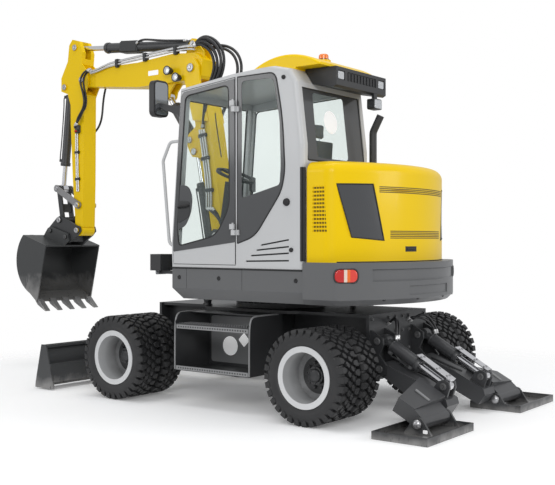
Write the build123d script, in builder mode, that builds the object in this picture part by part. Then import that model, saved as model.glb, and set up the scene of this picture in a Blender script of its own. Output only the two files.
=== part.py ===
"""Compact wheeled excavator with twin tyres, two-piece boom, dozer blade and stabilizer legs.

Frame: +X forward (blade and bucket), +Y the machine's left (cab side), +Z up, millimetres.
Origin: on the ground, on the slew axis, midway between the axles.
It stands on its wheels with both stabilizer pads and the blade down and the bucket held clear.
"""

import os
from math import cos, hypot, radians, sin, sqrt

from build123d import *

os.makedirs("parts", exist_ok=True)

# ---------------------------------------------------------------- driving dimensions
# Points named as pairs are (x, z) in a side view unless their comment says otherwise.

# Wheels
wheelbase = 2130
tyre_radius = 382
tyre_width = 252
twin_gap = 46  # between the two tyres of one side
overall_width = 2300
rim_seat_radius = 212
rim_flange_radius = 246
rim_thickness = 12
hub_radius = 120
lug_count = 22
lug_share = 0.66  # of the pitch, taken by a lug at the tread
groove_depth = 26
shoulder = 24  # width of each shoulder, and depth of the bead in it
shoulder_fall = 26  # how much lower the tread is at the sidewall
bore_sides = 16

# Undercarriage
frame_half_width = 240
frame_bottom = 400
tunnel_roof = 600  # underside of the frame above the axles
deck_top = 840
deck_plate = 25
deck_half_width = 485
mount_plate = 30  # end plates of the frame, front and rear
mount_face = 1265  # outer face of the rear mount plate, from the slew axis
front_face = 1240
ring_radius = 420
ring_height = 85
slew_gap = 4
diff_radius = 140
axle_tube_radius = 70
kingpin_y = 500
kingpin_radius = 28

# Step boxes between the axles
step_length = 840
step_depth = 460
step_outer = 1000
step_top = 815
step_bottom = 310
tread_height = 42
sheet = 8

# Dozer blade
blade_pivot = (1330, 360)
blade_cylinder_base = (1300, 690)
blade_cylinder_eye = (1920, 392)
blade_half_width = 1150
blade_plate = 16
blade_arm_y = 270
blade_arm_width = 70

# Stabilizer legs
leg_pivot = (-1355, 402)
leg_cylinder_base = (-1332, 629)
leg_rod_eye = (-1895, 302)
pad_pivot = (-1945, 92)
leg_inner = 240  # inner and outer face of the leg's main beam
leg_outer = 440
foot_inner = 480
foot_outer = 890
pad_inner = 450
pad_outer = 1190
pad_front = -1715
pad_rear = -2175
pad_plate = 18
pad_rim = 60

# Platform, counterweight and hood
platform_bottom = 935
skirt_fold = 1030
platform_top = 1205
platform_half_width = 950
platform_front = 500
platform_rear = -928
platform_plate = 12
tail_radius = 1590
counterweight_half_width = 965
counterweight_top = 1275
hood_top = 2085
hood_inset = 100
hood_wall = 30
panel_gap = 8
seam = 5  # width and depth of the grooves between panels
louvre_depth = 18
panel_recess = 6
engine_room = 60  # from the engine block to the hood's inside
lamp_width = 190
lamp_height = 104
lamp_place = 34.3  # degrees round the tail from straight back to a tail lamp
lamp_turn = 41  # degrees from straight back to the way a tail lamp faces
lamp_rim = 7
lamp_z = 1172

# Cab
cab_left = 950
cab_right = -60
cab_wall = 45
cab_corner = 40
slot_height = 13
cab_floor = 1205  # underside of the cab, on the platform
door_gap = 6
door_thickness = 34
glass_thickness = 6
door_hinge_x = -228
door_hinge_out = 35  # hinge axis beyond the cab's side

# Boom, arm and bucket
boom_y = -105
swing_x = 625
swing_pin_radius = 45
boom_foot = (783, 1494)
lift_base = (915, 1200)
lift_eye = (1132, 2353)
elbow = (1116, 3194)
adjust_base = (1190, 2475)
adjust_eye = (1535, 2960)
stick_base = (1150, 3450)
arm_pivot = (2799, 3249)
stick_eye = (2914, 3623)
bucket_base = (3085, 3192)
lever_pivot = (2848, 1847)
knuckle_pin = (3215, 2045)
link_pin = (3150, 1682)
bucket_pivot = (2852, 1563)
boom_width = 210
arm_width = 180
bucket_width = 800
bucket_plate = 14
tooth_count = 5

# Cylinders, forks and pins
pin_radius = 28
eye_width = 70
eye_radius = 46
bore_gap = 1  # between a pin and its bore
side_gap = 5  # between a fork's cheek and the eye in it
cheek = 22
gland_length = 40
neck_length = 78  # from a cylinder's base pin to the start of its tube, past the fork's cheeks
neck_radius = 34
tube_wall = 9
stop_gap = 5  # left between a rod and its barrel's closed end when it is fully in

axle_x = wheelbase / 2
tyre_inner_y = overall_width / 2 - 2 * tyre_width - twin_gap
tyre_starts = (tyre_inner_y, tyre_inner_y + tyre_width + twin_gap)
hub_face = tyre_inner_y + tyre_width - 20
ring_top = deck_top + ring_height
eye_cheek = eye_width / 2 + side_gap  # inner face of the cheeks beside a cylinder's eye


# ---------------------------------------------------------------- helpers
def side(y):
    """Side-view sketch plane at y, extruding toward -Y."""
    return Plane.XZ.offset(-y)


def along(start, end, y):
    """Side-view plane at y, its x axis running from one (x, z) point to another."""
    run = Vector(end[0] - start[0], 0, end[1] - start[1])
    return Plane(origin=(start[0], y, start[1]), x_dir=run, z_dir=(0, -1, 0))


def span(start, end):
    return hypot(end[0] - start[0], end[1] - start[1])


def outline(*points):
    """A closed straight-sided face in the sketch that is open."""
    return Polygon(*points, align=None)


def save(builder, name):
    builder.part.label = name
    export_step(builder.part, f"parts/{name}.step")


def cylinder(base, eye, y, bore, rod, stroke_back):
    """A hydraulic cylinder drawn at its present length: returns its barrel and its rod.

    base, eye: (x, z) of the two pins. bore: radius of the barrel's inside. rod: its radius.
    stroke_back: how far the rod can still go in.
    """
    length = span(base, eye)
    barrel_end = length - stroke_back - eye_radius - 2 * stop_gap
    chamber = neck_length + tube_wall
    tube = bore + tube_wall
    with BuildPart() as barrel:
        with BuildSketch(along(base, eye, y)):
            Circle(eye_radius)
        extrude(amount=eye_width / 2, both=True)
        with BuildSketch(along(base, eye, y)) as section:
            with BuildLine():
                Polyline(
                    (eye_radius - 12, 0), (eye_radius - 12, neck_radius), (neck_length, neck_radius),
                    (neck_length, tube), (barrel_end - gland_length, tube),
                    (barrel_end - gland_length, tube + 5), (barrel_end, tube + 5),
                    (barrel_end, rod + bore_gap), (barrel_end - gland_length, rod + bore_gap),
                    (barrel_end - gland_length, bore), (chamber, bore), (chamber, 0),
                    (eye_radius - 12, 0),
                )
            make_face()
        axis = along(base, eye, y)
        revolve(axis=Axis(axis.origin, axis.x_dir))
        with BuildSketch(along(base, eye, y)):
            Circle(pin_radius + bore_gap)
        extrude(amount=eye_width, both=True, mode=Mode.SUBTRACT)
    with BuildPart() as ram:
        with BuildSketch(along(eye, base, y)):
            Circle(eye_radius)
            Circle(pin_radius - 6, mode=Mode.SUBTRACT)
        extrude(amount=eye_width / 2, both=True)
        reach = length - chamber - stop_gap - stroke_back
        with BuildSketch(along(eye, base, y)):
            with BuildLine():
                Polyline(
                    (eye_radius - 8, 0), (eye_radius - 8, rod), (reach, rod),
                    (reach, 0), (eye_radius - 8, 0),
                )
            make_face()
        axis = along(eye, base, y)
        revolve(axis=Axis(axis.origin, axis.x_dir))
    return barrel, ram


# ---------------------------------------------------------------- wheels
def tread(reach):
    """Outline of the lugs and the notches between them, its highest point at reach."""
    half = lug_share * 180 / lug_count
    shrink = reach / tyre_radius
    corners = (
        # turn from the lug's middle, radius
        (-half, tyre_radius / cos(radians(half))),
        (half, tyre_radius / cos(radians(half))),
        (180 / lug_count, tyre_radius - groove_depth),
    )
    points = []
    for n in range(lug_count):
        for turn, radius in corners:
            angle = radians(n * 360 / lug_count - 90 + turn)
            points.append((shrink * radius * cos(angle), shrink * radius * sin(angle)))
    return outline(*points)


with BuildPart() as tyres:
    for y0 in tyre_starts:
        y1 = y0 + tyre_width
        with BuildSketch(side(y1 - shoulder)):
            tread(tyre_radius)
        extrude(amount=tyre_width - 2 * shoulder)
        for inner, outer in ((y0 + shoulder, y0), (y1 - shoulder, y1)):
            with BuildSketch(side(inner)):
                tread(tyre_radius)
            with BuildSketch(side(outer)):
                tread(tyre_radius - shoulder_fall)
            loft(ruled=True)
        with BuildSketch(side(y1)):
            RegularPolygon(rim_seat_radius, bore_sides, major_radius=False)
        extrude(amount=tyre_width, mode=Mode.SUBTRACT)
        for y in (y1, y0 + shoulder):
            with BuildSketch(side(y)):
                RegularPolygon(rim_flange_radius, bore_sides, major_radius=False)
            extrude(amount=shoulder, mode=Mode.SUBTRACT)

# Two dished rims, bolted disc to disc through a spacer ring; the hub carries the inner one.
inner_disc_y = hub_face + rim_thickness / 2
outer_disc_y = tyre_starts[1] + 18
with BuildPart() as rims:
    with BuildSketch(Plane.YZ):
        for y0 in tyre_starts:
            with Locations((y0 + tyre_width / 2, rim_seat_radius - rim_thickness / 2)):
                Rectangle(tyre_width - 28, rim_thickness)
            for edge in (y0 + 19, y0 + tyre_width - 19):
                with Locations((edge, (rim_flange_radius + rim_seat_radius - rim_thickness) / 2)):
                    Rectangle(9, rim_flange_radius - rim_seat_radius + rim_thickness)
        for y in (inner_disc_y, outer_disc_y):
            with Locations((y, (rim_seat_radius - 4) / 2)):
                Rectangle(rim_thickness, rim_seat_radius - 4)
        with Locations(((inner_disc_y + outer_disc_y) / 2, 100)):
            Rectangle(outer_disc_y - inner_disc_y, 60)
        with Locations((outer_disc_y + 28, 36)):
            Rectangle(56, 72)
    revolve(axis=Axis.Y)

for place, x in (("front", axle_x), ("rear", -axle_x)):
    for kind, source in (("tyres", tyres), ("rims", rims)):
        with BuildPart() as left_wheel:
            add(Pos(x, 0, tyre_radius) * source.part)
        save(left_wheel, f"{kind}_{place}_left")
        with BuildPart() as right_wheel:
            mirror(left_wheel.part, about=Plane.XZ)
        save(right_wheel, f"{kind}_{place}_right")

# ---------------------------------------------------------------- chassis
with BuildPart() as chassis:
    # Centre box between the end plates, arched over both axles.
    with BuildSketch(Plane.XZ):
        outline(
            (-mount_face + mount_plate, tunnel_roof), (-560, tunnel_roof), (-420, frame_bottom),
            (420, frame_bottom), (560, tunnel_roof), (front_face - mount_plate, tunnel_roof),
            (front_face - mount_plate, deck_top - 5), (-mount_face + mount_plate, deck_top - 5),
        )
    extrude(amount=frame_half_width, both=True)
    with BuildSketch(Plane.XY.offset(deck_top - deck_plate)):
        outline(
            (-mount_face, deck_half_width), (-560, deck_half_width), (-470, 540), (470, 540),
            (640, 330), (front_face, 330), (front_face, -330), (640, -330), (470, -540),
            (-470, -540), (-560, -deck_half_width), (-mount_face, -deck_half_width),
        )
    extrude(amount=deck_plate)
    # Outriggers that carry the step boxes.
    outrigger = step_outer - step_depth - frame_half_width
    for x in (-300, 300):
        for hand in (-1, 1):
            with Locations((x, hand * (frame_half_width + outrigger / 2), 640)):
                Box(60, outrigger, 350)
    # Lower slew ring: a wide bolt flange under a narrower race.
    with BuildSketch(Plane.XY.offset(deck_top)):
        Circle(ring_radius)
        Circle(ring_radius - 110, mode=Mode.SUBTRACT)
    extrude(amount=ring_height / 2)
    with BuildSketch(Plane.XY.offset(deck_top + ring_height / 2)):
        Circle(ring_radius - 40)
        Circle(ring_radius - 110, mode=Mode.SUBTRACT)
    extrude(amount=ring_height / 2 - slew_gap)
    # End plates.
    with Locations((-mount_face + mount_plate / 2, 0, 575)):
        Box(mount_plate, 2 * deck_half_width, 530)
    with Locations((front_face - mount_plate / 2, 0, 575)):
        Box(mount_plate, 700, 530)
    # Ears for the stabilizer legs and their cylinders, with both pins.
    for hand in (-1, 1):
        for face in (leg_inner - 4 - cheek, leg_outer + 4):
            outer = face + cheek if hand > 0 else -face
            with BuildSketch(side(outer)):
                outline(
                    (-mount_face, 330), (-mount_face, 715), (-1320, 690), (-1380, 655),
                    (-1385, 600), (-1345, 520), (-1408, 445), (-1408, 360), (-1350, 340),
                )
            extrude(amount=cheek)
        for pin in (leg_pivot, leg_cylinder_base):
            low = leg_inner - 4 - cheek - 8
            high = leg_outer + 4 + cheek + 8
            with BuildSketch(side(high if hand > 0 else -low)):
                with Locations(pin):
                    Circle(pin_radius)
            extrude(amount=high - low)
    # Ears for the blade's arms and its cylinder.
    ears = (
        # y, half gap, pin, outline
        (blade_arm_y, blade_arm_width / 2 + 4, blade_pivot),
        (-blade_arm_y, blade_arm_width / 2 + 4, blade_pivot),
        (0, eye_cheek, blade_cylinder_base),
    )
    for y, half_gap, pin in ears:
        px, pz = pin
        for outer in (y + half_gap + cheek, y - half_gap):
            with BuildSketch(side(outer)):
                outline(
                    (front_face, pz - 60), (front_face, pz + 90), (px + 10, pz + 60),
                    (px + 52, pz + 20), (px + 52, pz - 30), (px + 15, pz - 55),
                )
            extrude(amount=cheek)
        with BuildSketch(side(y + half_gap + cheek + 8)):
            with Locations(pin):
                Circle(pin_radius)
        extrude(amount=2 * (half_gap + cheek + 8))
save(chassis, "chassis")

# ---------------------------------------------------------------- axles and knuckles
yoke_y = kingpin_y - 90
with BuildPart() as rear_axle_shape:
    with BuildSketch(Plane.YZ):
        outline(
            (0, 0), (0, diff_radius), (110, diff_radius - 15), (190, axle_tube_radius + 5),
            (kingpin_y + 30, axle_tube_radius), (kingpin_y + 50, 110), (tyre_inner_y + 20, 110),
            (tyre_inner_y + 40, hub_radius), (hub_face, hub_radius), (hub_face, 0),
        )
    revolve(axis=Axis.Y)
    mirror(about=Plane.XZ)
    with Locations((100, 0, 10)):
        Box(240, 150, 150)
with BuildPart() as rear_axle:
    add(Pos(-axle_x, 0, tyre_radius) * rear_axle_shape.part)
    for y in (-185, 185):
        with Locations((-axle_x, y, (tunnel_roof + tyre_radius + 30) / 2)):
            Box(130, 80, tunnel_roof - tyre_radius - 30)
save(rear_axle, "rear_axle")

with BuildPart() as front_axle_shape:
    with BuildSketch(Plane.YZ):
        outline(
            (0, 0), (0, diff_radius), (110, diff_radius - 15), (180, axle_tube_radius),
            (yoke_y, axle_tube_radius - 10), (yoke_y, 0),
        )
    revolve(axis=Axis.Y)
    mirror(about=Plane.XZ)
    with Locations((-100, 0, 10)):
        Box(240, 150, 150)
    for hand in (-1, 1):
        with Locations((0, hand * (yoke_y - 15), 0)):
            Box(110, 50, 250)
        for z in (-112, 112):
            with Locations((0, hand * (kingpin_y - 45), z)):
                Box(110, 170, 26)
        with Locations((0, hand * kingpin_y, 0)):
            Cylinder(kingpin_radius, 262)
with BuildPart() as front_axle:
    add(Pos(axle_x, 0, tyre_radius) * front_axle_shape.part)
    for y in (-150, 150):
        with Locations((axle_x, y, (tunnel_roof + tyre_radius + 30) / 2)):
            Box(130, 80, tunnel_roof - tyre_radius - 30)
save(front_axle, "front_axle")

with BuildPart() as knuckle_shape:
    with Locations((0, kingpin_y, 0)):
        Cylinder(48, 190)
    with BuildSketch(side(hub_face)):
        Circle(76)
    extrude(amount=hub_face - kingpin_y)
    with BuildSketch(side(hub_face)):
        Circle(hub_radius)
    extrude(amount=hub_face - kingpin_y - 95)
    with Locations((-100, kingpin_y - 12, -74)):
        Box(170, 44, 24)
    with Locations((0, kingpin_y, 0)):
        Cylinder(kingpin_radius + bore_gap, 400, mode=Mode.SUBTRACT)
with BuildPart() as knuckle_left:
    add(Pos(axle_x, 0, tyre_radius) * knuckle_shape.part)
save(knuckle_left, "knuckle_left")
with BuildPart() as knuckle_right:
    mirror(knuckle_left.part, about=Plane.XZ)
save(knuckle_right, "knuckle_right")

# ---------------------------------------------------------------- step boxes
step_inner = step_outer - step_depth
half_step = step_length / 2
with BuildPart() as step_left:
    # End walls with a cut upper corner, back wall, floor, shelf and the two treads.
    for x in (-half_step, half_step - sheet):
        with BuildSketch(Plane.YZ.offset(x)):
            outline(
                (step_inner, step_bottom), (step_outer, step_bottom), (step_outer, 740),
                (step_outer - 60, step_top), (step_inner, step_top),
            )
        extrude(amount=sheet)
    walls = (
        # y0, y1, z0, z1
        (step_inner, step_inner + sheet, step_bottom, step_top),
        (step_inner, step_outer, step_bottom, step_bottom + sheet),
        (step_inner, step_outer - 190, step_top - sheet, step_top),
        (step_outer - sheet, step_outer, step_bottom, step_bottom + tread_height),
        (step_outer - 190, step_outer - 4, 712, 712 + sheet),
        (step_outer - 4 - sheet, step_outer - 4, 712 - tread_height + sheet, 712),
    )
    for y0, y1, z0, z1 in walls:
        with Locations((0, (y0 + y1) / 2, (z0 + z1) / 2)):
            Box(step_length - sheet, y1 - y0, z1 - z0)
save(step_left, "step_box_left")
with BuildPart() as step_right:
    mirror(step_left.part, about=Plane.XZ)
save(step_right, "step_box_right")

# ---------------------------------------------------------------- dozer blade
with BuildPart() as blade:
    mould_top = (2061, 432)
    mould_foot = (2112, 20)
    with BuildSketch(Plane.XZ):
        with BuildLine():
            ThreePointArc(mould_top, (2008, 225), mould_foot)
            Line(mould_foot, (mould_foot[0] - blade_plate, 20))
            ThreePointArc(
                (mould_foot[0] - blade_plate, 20), (2008 - blade_plate, 225),
                (mould_top[0] - blade_plate, mould_top[1]),
            )
            Line((mould_top[0] - blade_plate, mould_top[1]), mould_top)
        make_face()
    extrude(amount=blade_half_width - 1, both=True)
    # Cutting edge, top roll and the box beam behind the mouldboard.
    with BuildSketch(Plane.XZ):
        outline((2100, 16), (2128, 10), (2118, 95), (2085, 95))
        outline((1995, 404), (2056, 404), (2056, 428), (1995, 428))
        outline((1925, 70), (2012, 70), (2000, 250), (1925, 250))
    extrude(amount=blade_half_width - 1, both=True)
    for y in (blade_half_width, -blade_half_width + blade_plate):
        with BuildSketch(side(y)):
            outline((1993, 435), (2061, 435), (2148, 60), (2152, 14), (1885, 14), (1885, 60))
        extrude(amount=blade_plate)
    for y in (-blade_arm_y, blade_arm_y):
        with BuildSketch(side(y + blade_arm_width / 2)):
            outline(
                (blade_pivot[0], blade_pivot[1] + 52), (1500, 350), (1935, 250), (1935, 75),
                (1760, 90), (1480, 240), (blade_pivot[0], blade_pivot[1] - 52),
            )
            with Locations(blade_pivot):
                Circle(52)
            with Locations(blade_pivot):
                Circle(pin_radius + bore_gap, mode=Mode.SUBTRACT)
        extrude(amount=blade_arm_width)
    with Locations((1700, 0, 215)):
        Box(90, 2 * blade_arm_y, 120)
    # Fork for the rod's eye; its pin shows as a boss on each cheek.
    ex, ez = blade_cylinder_eye
    for outer in (eye_cheek + cheek, -eye_cheek):
        with BuildSketch(side(outer)):
            outline(
                (ex - 55, ez - 40), (ex - 40, ez + 40), (ex, ez + 55), (ex + 85, ez + 30),
                (2012, 240), (1935, 240),
            )
        extrude(amount=cheek)
    for outer in (eye_cheek + cheek + 12, -eye_cheek - cheek):
        with BuildSketch(side(outer)):
            with Locations(blade_cylinder_eye):
                Circle(pin_radius)
        extrude(amount=12)
save(blade, "blade")
blade_barrel, blade_rod = cylinder(
    blade_cylinder_base, blade_cylinder_eye, 0, bore=42, rod=25, stroke_back=170
)
save(blade_barrel, "blade_barrel")
save(blade_rod, "blade_rod")

# ---------------------------------------------------------------- stabilizer legs
leg_run = span(leg_pivot, pad_pivot)
leg_mid = (leg_inner + leg_outer) / 2


def leg_plane(y):
    """Plane at y with x along the leg from its root to the pad's pin, y up from the leg."""
    run = Vector(pad_pivot[0] - leg_pivot[0], 0, pad_pivot[1] - leg_pivot[1])
    return Plane(origin=(leg_pivot[0], y, leg_pivot[1]), x_dir=run, z_dir=(0, 1, 0))


# The cylinder's eye, measured along the leg and up from it.
eye_local = leg_plane(0).to_local_coords(Vector(leg_rod_eye[0], 0, leg_rod_eye[1]))
with BuildPart() as leg_left:
    with BuildSketch(leg_plane(leg_inner)):
        outline(
            (0, 50), (120, 60), (300, 88), (leg_run - 60, 96), (leg_run - 25, 60),
            (leg_run - 40, -42), (300, -60), (0, -50),
        )
        Circle(50)
        Circle(pin_radius + bore_gap, mode=Mode.SUBTRACT)
    extrude(amount=leg_outer - leg_inner)
    # Wing that carries the foot outward: a box whose top slopes down to the outer side.
    wing_end = leg_run - 80
    with BuildSketch(leg_plane(leg_outer)):
        outline((330, -50), (330, 135), (wing_end, 125), (wing_end, -45))
    with BuildSketch(leg_plane(foot_outer)):
        outline((430, -40), (430, 78), (wing_end, 78), (wing_end, -40))
    loft()
    with BuildSketch(leg_plane(foot_inner)):
        outline((wing_end - 10, -38), (wing_end - 10, 74), (leg_run, 50), (leg_run, -50))
        with Locations((leg_run, 0)):
            Circle(50)
            Circle(pin_radius + bore_gap, mode=Mode.SUBTRACT)
    extrude(amount=foot_outer - foot_inner)
    # Fork for the rod's eye; its pin shows as a boss on each cheek.
    ex, ez = eye_local.X, eye_local.Y
    for low in (leg_mid - eye_cheek - cheek, leg_mid + eye_cheek):
        with BuildSketch(leg_plane(low)):
            outline(
                (ex - 75, 60), (ex - 62, ez + 10), (ex - 25, ez + 50), (ex + 25, ez + 50),
                (ex + 52, ez + 15), (ex + 70, 60),
            )
        extrude(amount=cheek)
    for low in (leg_mid - eye_cheek - cheek - 10, leg_mid + eye_cheek + cheek):
        with BuildSketch(leg_plane(low)):
            with Locations((ex, ez)):
                Circle(pin_radius)
        extrude(amount=10)

with BuildPart() as pad_left:
    pad_length = pad_front - pad_rear
    pad_width = pad_outer - pad_inner
    pad_middle = ((pad_front + pad_rear) / 2, (pad_inner + pad_outer) / 2)
    with BuildSketch(Plane.XY):
        with Locations(pad_middle):
            Rectangle(pad_length, pad_width)
    extrude(amount=pad_plate)
    with BuildSketch(Plane.XY):
        with Locations(pad_middle):
            Rectangle(pad_length, pad_width)
            Rectangle(pad_length - 28, pad_width - 28, mode=Mode.SUBTRACT)
    extrude(amount=pad_rim)
    for low in (foot_inner - 4 - cheek, foot_outer + 4):
        with BuildSketch(side(low + cheek)):
            px, pz = pad_pivot
            outline((px - 120, 10), (px + 120, 10), (px + 45, pz + 28), (px - 45, pz + 28))
            with Locations(pad_pivot):
                Circle(52)
        extrude(amount=cheek)
    with BuildSketch(side(foot_outer + 4 + cheek + 10)):
        with Locations(pad_pivot):
            Circle(pin_radius)
    extrude(amount=foot_outer - foot_inner + 2 * (4 + cheek) + 14)

leg_barrel_left, leg_rod_left = cylinder(
    leg_cylinder_base, leg_rod_eye, leg_mid, bore=43, rod=28, stroke_back=214
)
with BuildPart() as leg_rod_guarded:
    # Sheet guard that rides over the barrel, welded to the rod's eye.
    add(leg_rod_left.part)
    with BuildSketch(along(leg_rod_eye, leg_cylinder_base, leg_mid)):
        outline((-18, 36), (-18, 72), (22, 72), (22, 36))
    extrude(amount=34, both=True)
    with BuildSketch(along(leg_rod_eye, leg_cylinder_base, leg_mid)):
        outline((-18, 70), (-18, 76), (330, 76), (330, 70))
    extrude(amount=48, both=True)
for piece, name in (
    (leg_left, "stabilizer_leg"), (pad_left, "stabilizer_pad"),
    (leg_barrel_left, "leg_barrel"), (leg_rod_guarded, "leg_rod"),
):
    save(piece, f"{name}_left")
    with BuildPart() as mirrored:
        mirror(piece.part, about=Plane.XZ)
    save(mirrored, f"{name}_right")

# ---------------------------------------------------------------- platform
boom_side = side(boom_y)
lug_reach = 65  # platform lugs round the swing axis
post_low = 990
post_high = 1160
lug_plate = 40
with BuildPart() as platform:
    half = platform_half_width
    front, rear = platform_front, platform_rear
    with BuildSketch(Plane.XY.offset(skirt_fold)):
        outline((rear, -half), (front, -half), (front, half), (rear, half))
    extrude(amount=platform_top - skirt_fold)
    with BuildSketch(Plane.XY.offset(platform_bottom)):
        outline((rear, 50 - half), (front - 90, 50 - half), (front - 90, half - 50), (rear, half - 50))
    with BuildSketch(Plane.XY.offset(skirt_fold)):
        outline((rear, -half), (front, -half), (front, half), (rear, half))
    loft()
    with BuildSketch(Plane.XY.offset(platform_bottom + platform_plate)):
        outline(
            (rear + 20, 90 - half), (front - 120, 90 - half), (front - 120, half - 90),
            (rear + 20, half - 90),
        )
    extrude(amount=platform_top - platform_bottom - 2 * platform_plate, mode=Mode.SUBTRACT)
    # Seams between the skirt's panels.
    for x in (330, -300):
        for y in (half, -half):
            with Locations((x, y, (skirt_fold + platform_top) / 2)):
                Box(seam, 2 * seam, platform_top - skirt_fold, mode=Mode.SUBTRACT)
    # Frame rails inside, and the two lugs that carry the swing post's pin.
    for y in (boom_y - 130, boom_y + 130):
        with Locations(((front + rear) / 2, y, (platform_top + platform_bottom) / 2)):
            Box(front - rear - 30, 20, platform_top - platform_bottom - 10)
    for z in (post_low - 5 - lug_plate, post_high + 5):
        with BuildSketch(Plane.XY.offset(z)):
            outline(
                (front - 10, boom_y - 110), (swing_x, boom_y - lug_reach),
                (swing_x, boom_y + lug_reach), (front - 10, boom_y + 110),
            )
            with Locations((swing_x, boom_y)):
                Circle(lug_reach)
        extrude(amount=lug_plate)
    with Locations((swing_x, boom_y, (post_low + post_high) / 2)):
        Cylinder(swing_pin_radius, post_high - post_low + 2 * lug_plate + 30)
    with BuildSketch(Plane.XY.offset(ring_top)):
        Circle(ring_radius - 30)
        Circle(ring_radius - 110, mode=Mode.SUBTRACT)
    extrude(amount=platform_bottom - ring_top)
save(platform, "platform")


def tail_outline(front, half_width, radius, corner):
    """Plan outline: straight front and sides, an arc about the slew axis at the tail."""
    corner_x = -sqrt(radius**2 - half_width**2)
    with BuildLine() as edge:
        Polyline((corner_x, -half_width), (front, -half_width), (front, half_width), (corner_x, half_width))
        ThreePointArc((corner_x, half_width), (-radius, 0), (corner_x, -half_width))
    face = make_face(edge.edges())
    fillet(face.vertices().filter_by_position(Axis.X, corner_x - 1, corner_x + 1), corner)
    return face


def radial(turn):
    """Sketch plane through the slew axis, its x axis turned this many degrees from straight ahead."""
    angle = radians(turn)
    return Plane(origin=(0, 0, 0), x_dir=(cos(angle), sin(angle), 0), z_dir=(sin(angle), -cos(angle), 0))


def facing_back(turn, reach, z, place=None):
    """Upright plane facing out at turn degrees from straight back, its origin this far out."""
    angle = radians(180 - turn)
    spot = radians(180 - (turn if place is None else place))
    return Plane(
        origin=(reach * cos(spot), reach * sin(spot), z),
        x_dir=(-sin(angle), cos(angle), 0), z_dir=(cos(angle), sin(angle), 0),
    )


lamp_floor = tail_radius - 34  # from the slew axis to the middle of a lamp pocket's floor


with BuildPart() as counterweight:
    weight_front = platform_rear - panel_gap
    with BuildSketch(Plane.XY.offset(platform_bottom)):
        tail_outline(weight_front, counterweight_half_width, tail_radius, 110)
    extrude(amount=counterweight_top - platform_bottom)
    chamfer(counterweight.faces().sort_by(Axis.Z)[0].edges().filter_by(
        lambda e: e.center().X < weight_front - 5), 45)
    # Band recess round the tail, a lower panel recess, and a pocket for each tail lamp.
    for low, high, depth, half_turn in ((1120, 1222, 16, 26), (1000, 1085, 10, 12)):
        with BuildSketch(radial(-half_turn)):
            outline(
                (-tail_radius - 20, low - 12), (-tail_radius - 20, high + 12),
                (-tail_radius + depth, high - 8), (-tail_radius + depth, low + 14),
            )
        revolve(axis=Axis.Z, revolution_arc=2 * half_turn, mode=Mode.SUBTRACT)
    for hand in (-1, 1):
        with BuildSketch(facing_back(hand * lamp_turn, lamp_floor, lamp_z, hand * lamp_place)):
            RectangleRounded(lamp_width + 2 * lamp_rim, lamp_height + 2 * lamp_rim, lamp_height / 2)
        extrude(amount=90, mode=Mode.SUBTRACT)
    # Bolting face, set in from the edges so that a seam shows round it.
    with Locations((platform_rear - panel_gap / 2, 0, (platform_bottom + platform_top) / 2)):
        Box(panel_gap, 2 * platform_half_width - 120, platform_top - platform_bottom - 60)
save(counterweight, "counterweight")

with BuildPart() as tail_lamps:
    for hand in (-1, 1):
        with BuildSketch(facing_back(hand * lamp_turn, lamp_floor, lamp_z, hand * lamp_place)):
            RectangleRounded(lamp_width, lamp_height, lamp_height / 2 - lamp_rim)
        extrude(amount=34)
    fronts = [f for f in tail_lamps.faces() if f.area > 15000 and f.center().dot(f.normal_at()) > 0]
    fillet([edge for face in fronts for edge in face.edges()], 12)
save(tail_lamps, "tail_lamps")

with BuildPart() as hood:
    hood_front = weight_front - 15
    hood_base = counterweight_top
    hood_half = platform_half_width - 25
    hood_radius = tail_radius - hood_inset
    with BuildSketch(Plane.XY.offset(hood_base)):
        tail_outline(hood_front, hood_half, hood_radius, 120)
    extrude(amount=hood_top - hood_base)
    top_edges = hood.faces().sort_by(Axis.Z)[-1].edges().filter_by(
        lambda e: e.center().X < hood_front - 5)
    fillet(top_edges, 90)
    with BuildSketch(Plane.XY.offset(hood_base)):
        tail_outline(hood_front - hood_wall, hood_half - hood_wall, hood_radius - hood_wall, 90)
    extrude(amount=hood_top - hood_base - hood_wall - 70, mode=Mode.SUBTRACT)
    # Louvres round the tail: slots that slope down and out between slats.
    for base, count, half_turn in ((1838, 4, 21), (1466, 5, 16.5)):
        for n in range(count):
            low = base + n * 14
            with BuildSketch(radial(-half_turn)):
                outline(
                    (-hood_radius - 10, low - 2), (-hood_radius - 10, low + 7),
                    (-hood_radius + louvre_depth, low + 12), (-hood_radius + louvre_depth, low + 3),
                )
            revolve(axis=Axis.Z, revolution_arc=2 * half_turn, mode=Mode.SUBTRACT)
    # A grille of longer slots in each side, its rear edge raked.
    for y in (hood_half, louvre_depth - hood_half):
        for n in range(12):
            low = 1520 + n * 31
            with BuildSketch(side(y)):
                outline(
                    (-1008, low), (-1008, low + 17),
                    (-1142 + (low + 17 - 1520) * 0.07, low + 17), (-1142 + (low - 1520) * 0.07, low),
                )
            extrude(amount=louvre_depth, mode=Mode.SUBTRACT)
    # Shallow raked recess in each rear corner for the dark panel.
    for hand in (-1, 1):
        with BuildPart(mode=Mode.SUBTRACT):
            with BuildSketch(facing_back(hand * 27.5, hood_radius - 150, 0)):
                outline(
                    (hand * -225, 1903), (hand * 114, 1908), (hand * 225, 1446), (hand * -94, 1472),
                    (hand * -130, 1500),
                )
            extrude(amount=300)
            with BuildSketch(Plane.XY.offset(hood_base)):
                Circle(hood_radius - panel_recess)
            extrude(amount=hood_top - hood_base, mode=Mode.SUBTRACT)
save(hood, "hood")

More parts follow.
